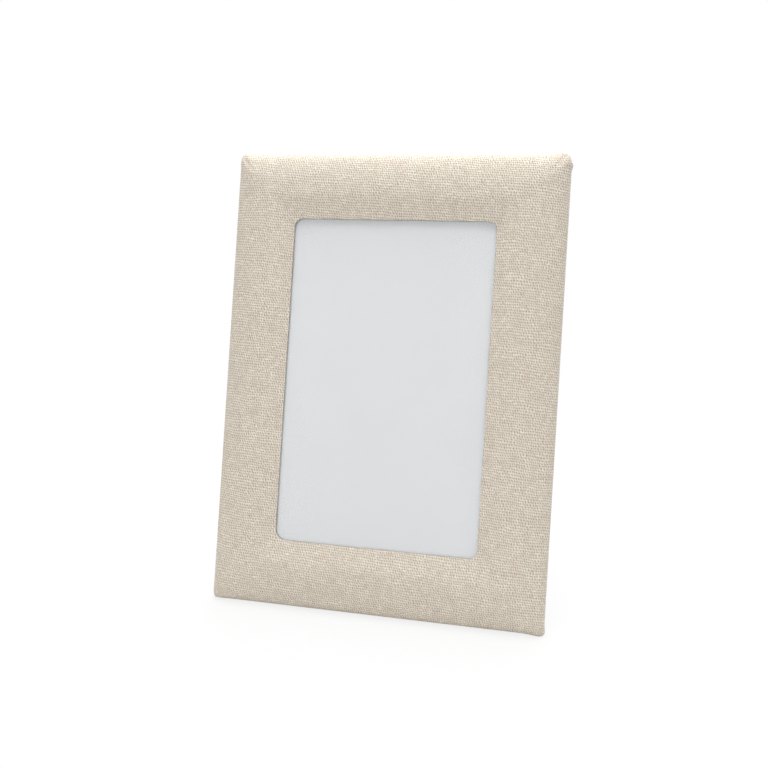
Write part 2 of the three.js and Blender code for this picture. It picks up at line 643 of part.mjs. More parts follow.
// Ribbon between panel and strut: it lies along each for a tab's length and is taut between them
function ribbonPath() {
  const onPanel = CLEARANCE + RIBBON_THICKNESS / 2;
  const onStrut = STRUT_FRONT - CLEARANCE - RIBBON_THICKNESS / 2;
  const strutPlaces = [-RIBBON_REACH, RIBBON_TAB - RIBBON_REACH].map((z) =>
    new THREE.Vector3(0, onStrut, z).applyMatrix4(strut.matrix),
  );
  const [panelTop, panelBend] = [RIBBON_HEIGHT + RIBBON_TAB, RIBBON_HEIGHT].map((z) => point(onPanel, z));
  const [strutBend, strutTop] = strutPlaces.map(({ y, z }) => point(y, z));
  const towards = (from, to) => from.clone().add(to.clone().sub(from).setLength(RIBBON_BEND));
  const path = new THREE.Path();
  path.moveTo(panelTop.x, panelTop.y);
  for (const [before, bend, after] of [
    [panelTop, panelBend, strutBend],
    [panelBend, strutBend, strutTop],
  ]) {
    const start = towards(bend, before);
    const end = towards(bend, after);
    path.lineTo(start.x, start.y);
    path.quadraticCurveTo(bend.x, bend.y, end.x, end.y);
  }
  path.lineTo(strutTop.x, strutTop.y);
  return path.getPoints(CORNER_STEPS);
}

function addRibbon() {
  const middle = ribbonPath();
  const upper = offsetPath(middle, -RIBBON_THICKNESS / 2);
  const lower = offsetPath(middle, RIBBON_THICKNESS / 2);
  const section = new THREE.Shape([...lower, ...upper.toReversed()]);
  const strip = new THREE.ExtrudeGeometry(section, { depth: RIBBON_WIDTH, bevelEnabled: false });
  strip.translate(0, 0, -RIBBON_WIDTH / 2);
  const [xAxis, yAxis, zAxis] = [0, 1, 2].map((axis) => new THREE.Vector3().setComponent(axis, 1));
  strip.applyMatrix4(new THREE.Matrix4().makeBasis(yAxis, zAxis, xAxis));
  const panelHole = roundPin(RIVET_HOLE_RADIUS, 0, RIBBON_TAB, 0, RIBBON_HEIGHT + RIBBON_RIVET_RISE);
  const strutHole = roundPin(RIVET_HOLE_RADIUS, -RIBBON_TAB, STRUT_REAR, 0, RIBBON_RIVET_RISE - RIBBON_REACH);
  strutHole.applyMatrix4(strut.matrix);
  add(leaningFrame, "stay_ribbon", cut(strip, [panelHole, strutHole]), RIBBON_SATIN);

  const panelHead = 2 * CLEARANCE + RIBBON_THICKNESS;
  const panelRivet = rivetGeometry(CLEARANCE - PANEL_THICKNESS, panelHead);
  const onPanel = add(leaningFrame, "ribbon_rivet_panel", panelRivet, STEEL);
  onPanel.position.z = RIBBON_HEIGHT + RIBBON_RIVET_RISE;
  const strutFlare = STRUT_FRONT - 2 * CLEARANCE - RIBBON_THICKNESS - RIVET_FLARE_HEIGHT;
  const strutRivet = rivetGeometry(strutFlare, STRUT_REAR + CLEARANCE);
  const onStrut = add(strut, "ribbon_rivet_strut", strutRivet, STEEL);
  onStrut.position.z = RIBBON_RIVET_RISE - RIBBON_REACH;
}

addLinenCover();
addFoamPad();
addCoreBoard();
addRebateStrips();
addRearFacing();
addPocketStack();
addTurnButtons();
addHinge();
addStrutBoard();
addRibbon();

// The origin is the middle of the footprint.
const footprint = new THREE.Box3().setFromObject(assembly, true);
assembly.position.y = -(footprint.min.y + footprint.max.y) / 2;

export default root;
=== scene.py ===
import json
import math

import bmesh
import bpy
import numpy as np
from mathutils import Matrix, Vector, noise


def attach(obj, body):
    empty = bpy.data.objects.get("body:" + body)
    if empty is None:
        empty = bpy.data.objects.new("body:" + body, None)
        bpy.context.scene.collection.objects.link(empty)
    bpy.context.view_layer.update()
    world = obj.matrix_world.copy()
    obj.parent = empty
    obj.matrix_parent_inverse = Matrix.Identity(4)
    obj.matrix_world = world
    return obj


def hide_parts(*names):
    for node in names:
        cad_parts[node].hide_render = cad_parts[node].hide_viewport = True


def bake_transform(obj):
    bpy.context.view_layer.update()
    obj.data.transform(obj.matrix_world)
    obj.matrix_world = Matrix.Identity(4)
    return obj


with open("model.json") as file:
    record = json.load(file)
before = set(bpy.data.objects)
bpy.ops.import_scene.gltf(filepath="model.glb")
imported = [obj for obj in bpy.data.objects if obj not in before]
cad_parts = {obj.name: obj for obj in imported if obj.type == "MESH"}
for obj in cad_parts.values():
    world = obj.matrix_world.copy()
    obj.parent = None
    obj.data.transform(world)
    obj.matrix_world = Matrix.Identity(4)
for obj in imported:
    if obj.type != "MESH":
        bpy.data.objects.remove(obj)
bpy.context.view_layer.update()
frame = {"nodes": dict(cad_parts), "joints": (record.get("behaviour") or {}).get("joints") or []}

MM = 0.001

# Camera, as the photograph was taken
IMAGE_SIZE = 768
FOCAL_LENGTH = 1000  # in pixels of that image
CAMERA_AZIMUTH = math.radians(14.94)
CAMERA_ELEVATION = math.radians(12.70)
CAMERA_DISTANCE = 0.4473
CAMERA_TARGET = Vector((-0.0025, 0, 0.09745))

# Padded rail, in millimetres; insets run inward from the outer edge, depths forward from the rear
RAIL_WIDTH = 29.45
CREST_SETBACK = 11.2
CREST_BEND = 4.0
WINDOW_SLOPE = math.radians(19)
WINDOW_FOLD_RADIUS = 0.05
REAR_FOLD_RADIUS = 0.4
WALL_HEIGHT = 2.4
MITRE_RADIUS = 2.0
MITRE_REACH = 6.0
CORNERS = [(1, 1), (-1, 1), (-1, -1), (1, -1)]  # sides of x and z, anticlockwise as seen from behind
OUTER_RADII = [1.6, 1.8, 1.0, 2.0]
WINDOW_RADII = [3.8, 3.8, 5.0, 3.8]
FLAP_WIDTH = 12.0
TURN_WIDTH = 22.0
LINEN_THICKNESS = 0.3
SEAT_GAP = 0.15
CLEARANCE = 0.3
COVER_OFFSET = LINEN_THICKNESS + SEAT_GAP
WINDOW_EDGE_RADIUS = LINEN_THICKNESS + WINDOW_FOLD_RADIUS
REAR_EDGE_RADIUS = LINEN_THICKNESS + REAR_FOLD_RADIUS

# Unevenness of the padding and the folds at the corners, in millimetres
PAD_RELIEF = 0.16
PAD_WAVE = 26.0
RIDGE_HEIGHT = 0.6
RIDGE_HALF_WIDTH = 1.4
RIDGE_REACH = 15.0
EAR_REACHES = [5.0, 4.6, 3.4, 3.4]
EAR_HEIGHTS = [1.1, 0.8, 0.2, 1.0]
PINCH_DEPTHS = [1.5, 0.2, 0.0, -0.5]  # a negative one bulges out
TUCK_HEIGHTS = [0.6, 0.2, 0.1, 0.0]
TUCK_LENGTH = 5.4

# Weave: pitches and relief in millimetres, sways in yarns, the skew an angle, the rest shares
WARP_PITCH = 0.61
WEFT_PITCH = 1.13
WEFT_SKEW = math.radians(3.3)
WARP_SWAY = 4.5
WEFT_SWAY = 1.9
SLUBS_PER_METRE = {"weft": 500.0, "warp": 600.0}
SLUB_STEPS = {"weft": 7.3, "warp": 5.1}  # how unlike neighbouring yarns are
YARN_LEAN = 0.72
WEFT_SHARE = 0.42
COLUMN_PITCH = 0.95
COLUMN_HEIGHT = 0.15
YARN_RELIEF = 0.22
YARN_BUMP = 0.55
# painted shade in the gaps of the weave: the weave heights between which it grows, and how far it goes
# towards its dark colour
GAP_FLOOR = 0.12
GAP_TOP = 0.68
GAP_PAINTED_SHADE = 0.56

# Strut, hinge and small metal parts, in millimetres
STRUT_SPREAD = math.radians(11)
STRUT_TOP_WIDTH = 34.0
STRUT_FOOT_WIDTH = 56.0
STRUT_CORNER_RADIUS = 3.0
BOARD_CORNER_RADIUS = 1.0
BOARD_ROUNDING = 0.6
PIN_RADIUS = 0.9
RUNNING_CLEARANCE = 0.15
LEAF_THICKNESS = 0.8
LEAF_CORNER_RADIUS = 1.5
LEAF_FOOT_RADIUS = 0.3
LEAF_ROUNDING = 0.2
KNUCKLE_TURN = 3.6  # quarter turns that a knuckle is rolled through
KNUCKLE_BORE = PIN_RADIUS + RUNNING_CLEARANCE
KNUCKLE_RADIUS = KNUCKLE_BORE + LEAF_THICKNESS
BUTTON_TIP_RADIUS = 3.0
BUTTON_ROUNDING = 0.25
HOLE_RADIUS = 1.4
SCREW_SHANK_RADIUS = 1.1
SCREW_SLOT_WIDTH = 0.7
SCREW_SLOT_DEPTH = 0.6
SCREW_HEAD_HEIGHT = 1.2
SCREW_DOME_POWER = 0.6  # under 1 makes the head's dome squarer
SCREW_TURNS = {"lower_left": 0.2, "lower_right": -0.7, "upper_left": 1.3, "upper_right": 0.5}  # radians
RIVET_SHANK_RADIUS = 1.0
RIVET_HOLE_RADIUS = 1.3
RIVET_HEAD_HEIGHT = 0.7
RIVET_FLARE_RADIUS = 1.7
RIVET_FLARE_HEIGHT = 0.5
RIBBON_WIDTH = 10.0
RIBBON_THICKNESS = 0.4
RIBBON_TAB = 10.0
RIBBON_BEND = 3.0
RIBBON_RIVET_RISE = (RIBBON_TAB + RIBBON_BEND) / 2
RIB_PITCH = 0.45
THREAD_PITCH = 0.28
THREAD_SHARE = 0.35  # height of a thread beside that of a rib

# Steps of the meshes
CORNER_STEPS = 14
SIDE_STEPS = 72
SIDE_CROWDING = 0.85  # 0 spaces the points of a side evenly, 1 crowds them at its ends
DOME_STEPS = 22
SLOPE_STEPS = 8
EDGE_STEPS = 6
ROUND_STEPS = 48
QUARTER = np.linspace(0, math.pi / 2, EDGE_STEPS + 1)  # angles round an edge

# Spaces: the leaning frame about the middle of its rear plane, the hinge's axis, and the strut
joints = {joint["name"]: joint for joint in frame["joints"]}
rear_normal = Vector(joints["turn_lower_left"]["axis"])
LEAN = math.atan2(-rear_normal.z, rear_normal.y)
pivots = [Vector(joint["pos_m"]) for name, joint in joints.items() if name.startswith("turn_")]
middle = sum(pivots, Vector()) / len(pivots)
hinge_place = Vector(joints["strut_hinge"]["pos_m"])
TO_METRES = Matrix.Scale(MM, 4)
FRAME_SPACE = Matrix.Translation(middle) @ Matrix.Rotation(-LEAN, 4, "X") @ TO_METRES
HINGE_SPACE = Matrix.Translation(hinge_place) @ Matrix.Rotation(-LEAN, 4, "X") @ TO_METRES
STRUT_SPACE = Matrix.Translation(hinge_place) @ Matrix.Rotation(STRUT_SPREAD, 4, "X") @ TO_METRES


def node_box(node, space):
    """A CAD node's lowest and highest corners in a space, in millimetres."""
    inverse = space.inverted()
    points = np.array([inverse @ vertex.co for vertex in frame["nodes"][node].data.vertices])
    return Vector(points.min(0)), Vector(points.max(0))


def box_middle(low, high):
    """The middle of a box across its depth: x and z."""
    return (low.x + high.x) / 2, (low.z + high.z) / 2


# Sizes read from the frame, and what follows from them
_, linen_high = node_box("linen_cover", FRAME_SPACE)
glass_low, _ = node_box("glass_pane", FRAME_SPACE)
core_low, core_high = node_box("core_board", FRAME_SPACE)
HALF_WIDTH = linen_high.x
HALF_HEIGHT = linen_high.z
CREST_INSET = RAIL_WIDTH - CREST_SETBACK
LINEN_REAR = -linen_high.y
WALL_DEPTH = LINEN_REAR + REAR_EDGE_RADIUS + WALL_HEIGHT
FLAP_REAR = -glass_low.y + SEAT_GAP
CORE_REAR = -core_high.y
CORE_FRONT = -core_low.y
FOAM_REAR = CORE_FRONT + SEAT_GAP
SLOPE_RUN = CREST_SETBACK - WINDOW_EDGE_RADIUS * (1 - math.sin(WINDOW_SLOPE))
SLOPE_FOOT = FLAP_REAR + WINDOW_EDGE_RADIUS * (1 + math.cos(WINDOW_SLOPE))
CREST_DEPTH = SLOPE_FOOT + (SLOPE_RUN - CREST_BEND / 2) * math.tan(WINDOW_SLOPE)

SCREW_PLACES = []
for pivot in pivots:
    local = FRAME_SPACE.inverted() @ pivot
    SCREW_PLACES.append((local.x, -LINEN_REAR - LINEN_THICKNESS - CLEARANCE, 0, local.z))


# Ways to make, join and shade pieces
def make_piece(name, points, faces, space, material):
    """A closed, smooth mesh object from points in a space, in millimetres."""
    mesh = bpy.data.meshes.new(name)
    mesh.from_pydata([tuple(point) for point in points], [], faces)
    mesh.transform(space)
    work = bmesh.new()
    work.from_mesh(mesh)
    bmesh.ops.recalc_face_normals(work, faces=work.faces)
    work.to_mesh(mesh)
    work.free()
    mesh.polygons.foreach_set("use_smooth", [True] * len(mesh.polygons))
    if material:
        mesh.materials.append(material)
    piece = bpy.data.objects.new(name, mesh)
    bpy.context.scene.collection.objects.link(piece)
    return piece


def stand_for(piece, node, body):
    """The piece takes a CAD node's place on its body."""
    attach(piece, body)
    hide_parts(node)
    return piece


def apply_modifiers(piece):
    """Bakes the modifiers into the mesh."""
    evaluated = piece.evaluated_get(bpy.context.evaluated_depsgraph_get())
    mesh = bpy.data.meshes.new_from_object(evaluated)
    piece.modifiers.clear()
    old = piece.data
    piece.data = mesh
    bpy.data.meshes.remove(old)
    mesh.name = piece.name
    return piece


def combine(piece, tools, operation):
    """Joins or cuts a piece with tools, which are then removed."""
    for tool in tools:
        modifier = piece.modifiers.new("combine", "BOOLEAN")
        modifier.operation = operation
        modifier.solver = "MANIFOLD"
        modifier.object = tool
        bpy.context.view_layer.update()
        apply_modifiers(piece)
        mesh = tool.data
        bpy.data.objects.remove(tool)
        bpy.data.meshes.remove(mesh)
    return piece


def smooth_by_angle(piece, degrees=35):
    """Smooth shading, with sharp edges where the faces turn by more than an angle."""
    work = bmesh.new()
    work.from_mesh(piece.data)
    for edge in work.edges:
        edge.smooth = not (edge.is_manifold and edge.calc_face_angle() > math.radians(degrees))
    for face in work.faces:
        face.smooth = True
    work.to_mesh(piece.data)
    work.free()
    return piece


def quad_grid(rows, columns, closed_rows):
    """Quads between the points of a grid whose columns close on themselves."""
    faces = []
    for row in range(rows if closed_rows else rows - 1):
        near = row * columns
        far = (row + 1) % rows * columns
        for column in range(columns):
            after = (column + 1) % columns
            faces.append((near + column, near + after, far + after, far + column))
    return faces


def lathe(name, profile, space, material, steps=ROUND_STEPS):
    """A solid turned about Y from (radius, y) points that start and end on the axis."""
    rings = profile[1:-1]
    points = [(0, profile[0][1], 0)]
    for radius, y in rings:
        for step in range(steps):
            angle = 2 * math.pi * step / steps
            points.append((radius * math.cos(angle), y, radius * math.sin(angle)))
    points.append((0, profile[-1][1], 0))
    faces = [tuple(1 + index for index in face) for face in quad_grid(len(rings), steps, False)]
    last = len(points) - 1
    for step in range(steps):
        after = (step + 1) % steps
        faces.append((0, 1 + after, 1 + step))
        faces.append((last, last - steps + step, last - steps + after))
    return make_piece(name, points, faces, space, material)


def inset_loop(loop, distance):
    """A closed outline that runs anticlockwise, moved inward."""
    outline = np.array(loop, float)
    run = np.roll(outline, -1, axis=0) - outline
    run /= np.linalg.norm(run, axis=1)[:, None]
    normal = np.stack([-run[:, 1], run[:, 0]], axis=1)
    before = np.roll(normal, 1, axis=0)
    mitre = normal + before
    mitre /= np.linalg.norm(mitre, axis=1)[:, None]
    return outline + mitre * (distance / (mitre * normal).sum(1))[:, None]


def plate(name, loop, y, thickness, rounding, space, material):
    """A plate between y and y + thickness with an (x, z) outline and rounded edges."""
    angles = np.linspace(0, math.pi / 2, EDGE_STEPS // 2 + 1)
    front = [(rounding * (1 - math.sin(a)), y + rounding * (1 - math.cos(a))) for a in angles]
    rear = [(inset, 2 * y + thickness - place) for inset, place in reversed(front)]
    points = []
    for inset, place in front + rear:
        points += [(x, place, z) for x, z in inset_loop(loop, inset)]
    count = len(loop)
    rings = len(front) + len(rear)
    faces = quad_grid(rings, count, False)
    faces.append(tuple(range(count)))
    faces.append(tuple(range((rings - 1) * count, rings * count)))
    return smooth_by_angle(make_piece(name, points, faces, space, material))


def arc(x, z, radius, start, end, steps=EDGE_STEPS * 2):
    """Points along an arc, angles in quarter turns."""
    angles = np.linspace(start, end, steps + 1) * math.pi / 2
    return [(x + radius * math.cos(a), z + radius * math.sin(a)) for a in angles]


def rectangle(low_x, high_x, low_z, high_z, low_radius, high_radius):
    """An anticlockwise outline with a radius at its lower and at its upper corners."""
    return [
        *arc(high_x - low_radius, low_z + low_radius, low_radius, -1, 0),
        *arc(high_x - high_radius, high_z - high_radius, high_radius, 0, 1),
        *arc(low_x + high_radius, high_z - high_radius, high_radius, 1, 2),
        *arc(low_x + low_radius, low_z + low_radius, low_radius, 2, 3),
    ]


def peg(x, z, radius, low, high, space):
    """A round cutter along Y."""
    profile = [(0, low), (radius, low), (radius, high), (0, high)]
    return lathe("peg", profile, space @ Matrix.Translation((x, 0, z)), None)


def drill(piece, places, radius, space):
    """Round holes along Y through a piece, at (x, low y, high y, z) places."""
    pegs = [peg(x, z, radius, low, high, space) for x, low, high, z in places]
    return combine(piece, pegs, "DIFFERENCE")


# Node materials
NOISE_RANGE = (0.3, 0.7)  # where most values of a noise node lie


class Shader:
    """A material around one Principled shader, with a short call for each kind of node."""

    def __init__(self, name, **constants):
        self.material = bpy.data.materials.new(name)
        self.material.use_nodes = True
        self.tree = self.material.node_tree
        self.surface = self.tree.nodes["Principled BSDF"]
        for key, value in constants.items():
            self.surface.inputs[key.replace("_", " ")].default_value = value

    def add(self, kind, inputs=None, **settings):
        node = self.tree.nodes.new("ShaderNode" + kind)
        for key, value in settings.items():
            setattr(node, key, value)
        for key, value in (inputs or {}).items():
            self.feed(node.inputs[key], value)
        return node

    def feed(self, socket, value):
        if isinstance(value, bpy.types.NodeSocket):
            self.tree.links.new(value, socket)
        else:
            socket.default_value = value

    def set(self, name, value):
        self.feed(self.surface.inputs[name], value)

    def math(self, operation, *values):
        return self.add("Math", dict(enumerate(values)), operation=operation).outputs[0]

    def mix(self, factor, first, second, blend="MIX"):
        inputs = {0: factor, 6: first, 7: second}
        return self.add("Mix", inputs, data_type="RGBA", blend_type=blend).outputs[2]

    def scale(self, value, low, high, to_low, to_high):
        inputs = {0: value, 1: low, 2: high, 3: to_low, 4: to_high}
        return self.add("MapRange", inputs).outputs[0]

    def place(self):
        return self.add("TexCoord").outputs["Object"]

    def stretch(self, vector, x, y, z):
        inputs = {0: vector, 1: (x, y, z)}
        return self.add("VectorMath", inputs, operation="MULTIPLY").outputs[0]

    def noise(self, vector, scale, detail=2.0, roughness=0.5):
        inputs = {"Vector": vector, "Scale": scale, "Detail": detail, "Roughness": roughness}
        return self.add("TexNoise", inputs).outputs[0]

    def vary(self, noise_value, low, high):
        """Noise drawn out to a range."""
        return self.scale(noise_value, *NOISE_RANGE, low, high)

    def wave(self, kind, value, factor):
        return self.math(kind, self.math("MULTIPLY", value, factor))

    def share(self, amount, first, second):
        """An amount of one value and the rest of another."""
        return self.math("MULTIPLY_ADD", first, amount, self.math("MULTIPLY", second, 1 - amount))

    def cover(self, amount, other):
        """Shows an amount of another shader in place of the Principled one."""
        both = self.add("MixShader", {0: amount, 1: self.surface.outputs[0], 2: other}).outputs[0]
        self.feed(self.tree.nodes["Material Output"].inputs["Surface"], both)

    def bump(self, height, distance, strength=1.0):
        inputs = {"Height": height, "Distance": distance * MM, "Strength": strength}
        self.set("Normal", self.add("Bump", inputs).outputs[0])


def opaque(red, green, blue):
    return (red, green, blue, 1.0)


WHITE = opaque(1, 1, 1)


def linen_material():
    """Plain weave of pale slubby yarns; the weft runs a little downhill and the gaps between get painted
    shade.
    """
    shader = Shader("linen", Sheen_Weight=0.25, Sheen_Roughness=0.45, Specular_IOR_Level=0.25)
    cut = shader.add("UVMap", uv_map="cut").outputs[0]
    across, up, _ = shader.add("SeparateXYZ", {0: cut}).outputs
    sway = shader.math("SUBTRACT", shader.noise(cut, 140.0), 0.5)
    drift = shader.math("SUBTRACT", shader.noise(shader.stretch(cut, 0.6, 1.0, 1.0), 130.0), 0.5)
    level = shader.math("MULTIPLY_ADD", across, math.tan(WEFT_SKEW), up)
    warp_sway = shader.math("MULTIPLY", sway, WARP_SWAY)
    weft_sway = shader.math("MULTIPLY", drift, WEFT_SWAY)
    warp = shader.math("MULTIPLY_ADD", across, 1 / (WARP_PITCH * MM), warp_sway)
    weft = shader.math("MULTIPLY_ADD", level, 1 / (WEFT_PITCH * MM), weft_sway)

    along_weft = shader.add("CombineXYZ", {0: across, 1: shader.math("FLOOR", weft)}).outputs[0]
    along_warp = shader.add("CombineXYZ", {0: shader.math("FLOOR", warp), 1: up}).outputs[0]
    weft_grain = shader.stretch(along_weft, SLUBS_PER_METRE["weft"], SLUB_STEPS["weft"], 1.0)
    warp_grain = shader.stretch(along_warp, SLUB_STEPS["warp"], SLUBS_PER_METRE["warp"], 1.0)
    weft_slub = shader.noise(weft_grain, 1.0, 3.0)
    warp_slub = shader.noise(warp_grain, 1.0, 3.0)
    weft_size = shader.vary(weft_slub, 0.7, 1.0)
    warp_size = shader.vary(warp_slub, 0.6, 1.0)
    rows = shader.math("ABSOLUTE", shader.wave("SINE", weft, math.pi))
    rising = shader.wave("COSINE", shader.math("ADD", warp, weft), math.pi)
    falling = shader.wave("COSINE", shader.math("SUBTRACT", warp, weft), math.pi)
    checks = shader.share(YARN_LEAN, rising, falling)
    weft_height = shader.math("MULTIPLY", rows, weft_size)
    warp_height = shader.math("MULTIPLY", shader.scale(checks, -1.0, 1.0, 1.0, 0.0), warp_size)
    woven = shader.share(WEFT_SHARE, weft_height, warp_height)
    columns = shader.wave("SINE", warp, 2 * math.pi * WARP_PITCH / COLUMN_PITCH)
    height = shader.math("MULTIPLY_ADD", columns, COLUMN_HEIGHT, woven)
    weft_on_top = shader.scale(shader.math("SUBTRACT", weft_height, warp_height), -0.2, 0.2, 0.0, 1.0)

    weft_shade = shader.vary(weft_slub, 0.0, 1.0)
    warp_shade = shader.vary(warp_slub, 0.0, 1.0)
    weft_colour = shader.mix(weft_shade, opaque(0.74, 0.665, 0.556), opaque(0.905, 0.84, 0.722))
    warp_colour = shader.mix(warp_shade, opaque(0.70, 0.632, 0.528), opaque(0.855, 0.785, 0.673))
    yarn = shader.mix(weft_on_top, warp_colour, weft_colour)
    mottle = shader.noise(shader.stretch(cut, 1.0, 0.8, 1.0), 200.0, 3.0)
    blush = shader.scale(mottle, 0.45, 0.7, 0.0, 0.4)
    tinted = shader.mix(blush, yarn, opaque(0.74, 0.621, 0.532))
    # Painted shade: the yarn colour goes dark where the weave is low, in the gaps between yarns
    painted_gap_shade = shader.scale(height, GAP_FLOOR, GAP_TOP, GAP_PAINTED_SHADE, 0.0)
    shader.set("Base Color", shader.mix(painted_gap_shade, tinted, opaque(0.13, 0.085, 0.06)))
    shader.set("Roughness", shader.scale(height, 0.0, 0.9, 1.0, 0.82))
    shader.bump(height, YARN_RELIEF, YARN_BUMP)
    return shader.material


def foam_material():
    """Open-cell foam."""
    shader = Shader("foam", Roughness=1.0, Specular_IOR_Level=0.1)
    place = shader.place()
    cells = shader.add("TexVoronoi", {"Vector": place, "Scale": 1400.0}).outputs["Distance"]
    mottle = shader.noise(place, 90.0, 4.0)
    colour = shader.mix(mottle, opaque(0.80, 0.72, 0.50), opaque(0.90, 0.84, 0.66))
    shader.set("Base Color", shader.mix(cells, colour, opaque(0.62, 0.55, 0.36)))
    shader.bump(cells, 0.3, 0.8)
    return shader.material


def board_material():
    """Pressed grey board with flecks of pulp."""
    shader = Shader("grey_board", Specular_IOR_Level=0.2)
    place = shader.place()
    pulp = shader.noise(shader.stretch(place, 1.0, 3.0, 1.0), 700.0, 6.0, 0.7)
    shade = shader.mix(pulp, opaque(0.32, 0.30, 0.26), opaque(0.50, 0.475, 0.42))
    fleck = shader.scale(shader.noise(place, 2600.0, 1.0), 0.66, 0.72, 0.0, 0.6)
    shader.set("Base Color", shader.mix(fleck, shade, opaque(0.16, 0.15, 0.14)))
    shader.set("Roughness", shader.vary(pulp, 0.8, 0.95))
    shader.bump(pulp, 0.06)
    return shader.material


def wood_material():
    """Planed softwood with growth rings cut along the strip."""
    shader = Shader("softwood", Specular_IOR_Level=0.3)
    place = shader.place()
    bend = shader.noise(shader.stretch(place, 3.0, 14.0, 3.0), 4.0, 2.0)
    drawn_out = shader.stretch(place, 40.0, 260.0, 30.0)
    inputs = {"Vector": drawn_out, "Scale": 1.0, "Distortion": 5.0, "Detail": 3.0}
    grain = shader.add("TexWave", inputs).outputs[0]
    rings = shader.math("MULTIPLY", grain, bend)
    fibre = shader.noise(shader.stretch(place, 300.0, 2500.0, 300.0), 1.0, 3.0)
    colour = shader.mix(rings, opaque(0.66, 0.48, 0.29), opaque(0.47, 0.29, 0.14))
    streaks = shader.vary(fibre, 0.0, 0.3)
    shader.set("Base Color", shader.mix(streaks, colour, opaque(0.36, 0.22, 0.11)))
    shader.set("Roughness", shader.vary(fibre, 0.6, 0.8))
    shader.bump(fibre, 0.05)
    return shader.material


def facing_material():
    """Dark matte paper with a fine tooth."""
    shader = Shader("facing_paper", Specular_IOR_Level=0.25)
    place = shader.place()
    fibre = shader.noise(place, 1900.0, 5.0, 0.7)
    cloud = shader.noise(place, 60.0, 3.0)
    colour = shader.mix(cloud, opaque(0.036, 0.032, 0.029), opaque(0.052, 0.046, 0.041))
    flecks = shader.scale(fibre, 0.55, 0.8, 0.0, 0.5)
    shader.set("Base Color", shader.mix(flecks, colour, opaque(0.09, 0.082, 0.075)))
    shader.set("Roughness", shader.vary(fibre, 0.72, 0.9))
    shader.bump(fibre, 0.05)
    return shader.material


def paper_material():
    """Smooth white paper, bare."""
    shader = Shader("white_paper", Specular_IOR_Level=0.3)
    place = shader.place()
    fibre = shader.noise(place, 2400.0, 4.0, 0.65)
    cloud = shader.noise(place, 35.0, 2.0)
    colour = shader.mix(cloud, opaque(0.74, 0.735, 0.76), opaque(0.78, 0.775, 0.795))
    flecks = shader.scale(fibre, 0.6, 0.8, 0.0, 0.25)
    shader.set("Base Color", shader.mix(flecks, colour, opaque(0.69, 0.685, 0.71)))
    shader.set("Roughness", shader.vary(fibre, 0.6, 0.75))
    shader.bump(fibre, 0.02, 0.5)
    return shader.material


def glass_material():
    """Clear picture glass that lets the lamps through, with a breath of haze."""
    tint = opaque(0.975, 0.985, 0.98)
    shader = Shader("clear_glass", Base_Color=tint, Transmission_Weight=1.0, IOR=1.5)
    haze = shader.noise(shader.place(), 40.0, 4.0)
    shader.set("Roughness", shader.scale(haze, 0.35, 0.75, 0.0, 0.02))
    clear = shader.add("BsdfTransparent", {"Color": opaque(0.96, 0.97, 0.965)}).outputs[0]
    shader.cover(shader.add("LightPath").outputs["Is Shadow Ray"], clear)
    return shader.material


def flock_material():
    """Dark short-pile flock, brushed unevenly."""
    shader = Shader("flocked_board", Sheen_Weight=0.55, Sheen_Roughness=0.35, Specular_IOR_Level=0.1)
    shader.set("Sheen Tint", opaque(0.62, 0.56, 0.50))
    place = shader.place()
    pile = shader.noise(place, 3200.0, 2.0, 0.8)
    brushed = shader.noise(shader.stretch(place, 1.0, 1.0, 0.45), 70.0, 4.0, 0.6)
    shade = shader.vary(brushed, 0.0, 1.0)
    colour = shader.mix(shade, opaque(0.026, 0.022, 0.019), opaque(0.050, 0.043, 0.037))
    tips = shader.scale(pile, 0.45, 0.75, 0.0, 0.6)
    shader.set("Base Color", shader.mix(tips, colour, opaque(0.085, 0.074, 0.064)))
    shader.set("Roughness", shader.vary(brushed, 0.85, 1.0))
    shader.bump(pile, 0.12, 0.8)
    return shader.material


def steel_material():
    """Bright zinc-plated steel with fine brushing and duller patches."""
    shader = Shader("steel", Metallic=1.0)
    place = shader.place()
    brushing = shader.noise(shader.stretch(place, 260.0, 4200.0, 4200.0), 1.0, 3.0, 0.7)
    cloud = shader.noise(place, 330.0, 4.0, 0.6)
    colour = shader.mix(cloud, opaque(0.56, 0.56, 0.545), opaque(0.70, 0.69, 0.665))
    scratches = shader.scale(brushing, 0.55, 0.8, 0.0, 0.35)
    shader.set("Base Color", shader.mix(scratches, colour, opaque(0.40, 0.395, 0.385)))
    spread = shader.math("MULTIPLY_ADD", cloud, 0.22, 0.16)
    shader.set("Roughness", shader.math("MULTIPLY_ADD", brushing, 0.16, spread))
    shader.bump(brushing, 0.012, 0.6)
    return shader.material


def ribbon_material():
    """Satin ribbon with fine cross ribs, and painted shade in the grooves between them."""
    shader = Shader("satin_ribbon", Sheen_Weight=0.3, Sheen_Roughness=0.3, Specular_IOR_Level=0.5)
    cut = shader.add("UVMap", uv_map="cut").outputs[0]
    across, along, _ = shader.add("SeparateXYZ", {0: cut}).outputs
    rib = shader.wave("SINE", along, 2 * math.pi / (RIB_PITCH * MM))
    thread = shader.wave("SINE", across, 2 * math.pi / (THREAD_PITCH * MM))
    height = shader.math("MULTIPLY_ADD", thread, THREAD_SHARE, rib)
    slub = shader.noise(shader.stretch(cut, 3500.0, 60.0, 1.0), 1.0, 3.0)
    colour = shader.mix(slub, opaque(0.055, 0.046, 0.040), opaque(0.095, 0.081, 0.070))
    # Painted shade: the colour goes dark where the ribs and threads are low, in the grooves
    painted_groove_shade = shader.scale(height, -1 - THREAD_SHARE, 0.4, 0.7, 0.0)
    shader.set("Base Color", shader.mix(painted_groove_shade, colour, opaque(0.03, 0.025, 0.022)))
    shader.set("Roughness", shader.vary(slub, 0.38, 0.55))
    shader.bump(height, 0.05, 0.7)
    return shader.material


LINEN = linen_material()
FLOCK = flock_material()
STEEL = steel_material()
BOARD = board_material()
WOOD = wood_material()


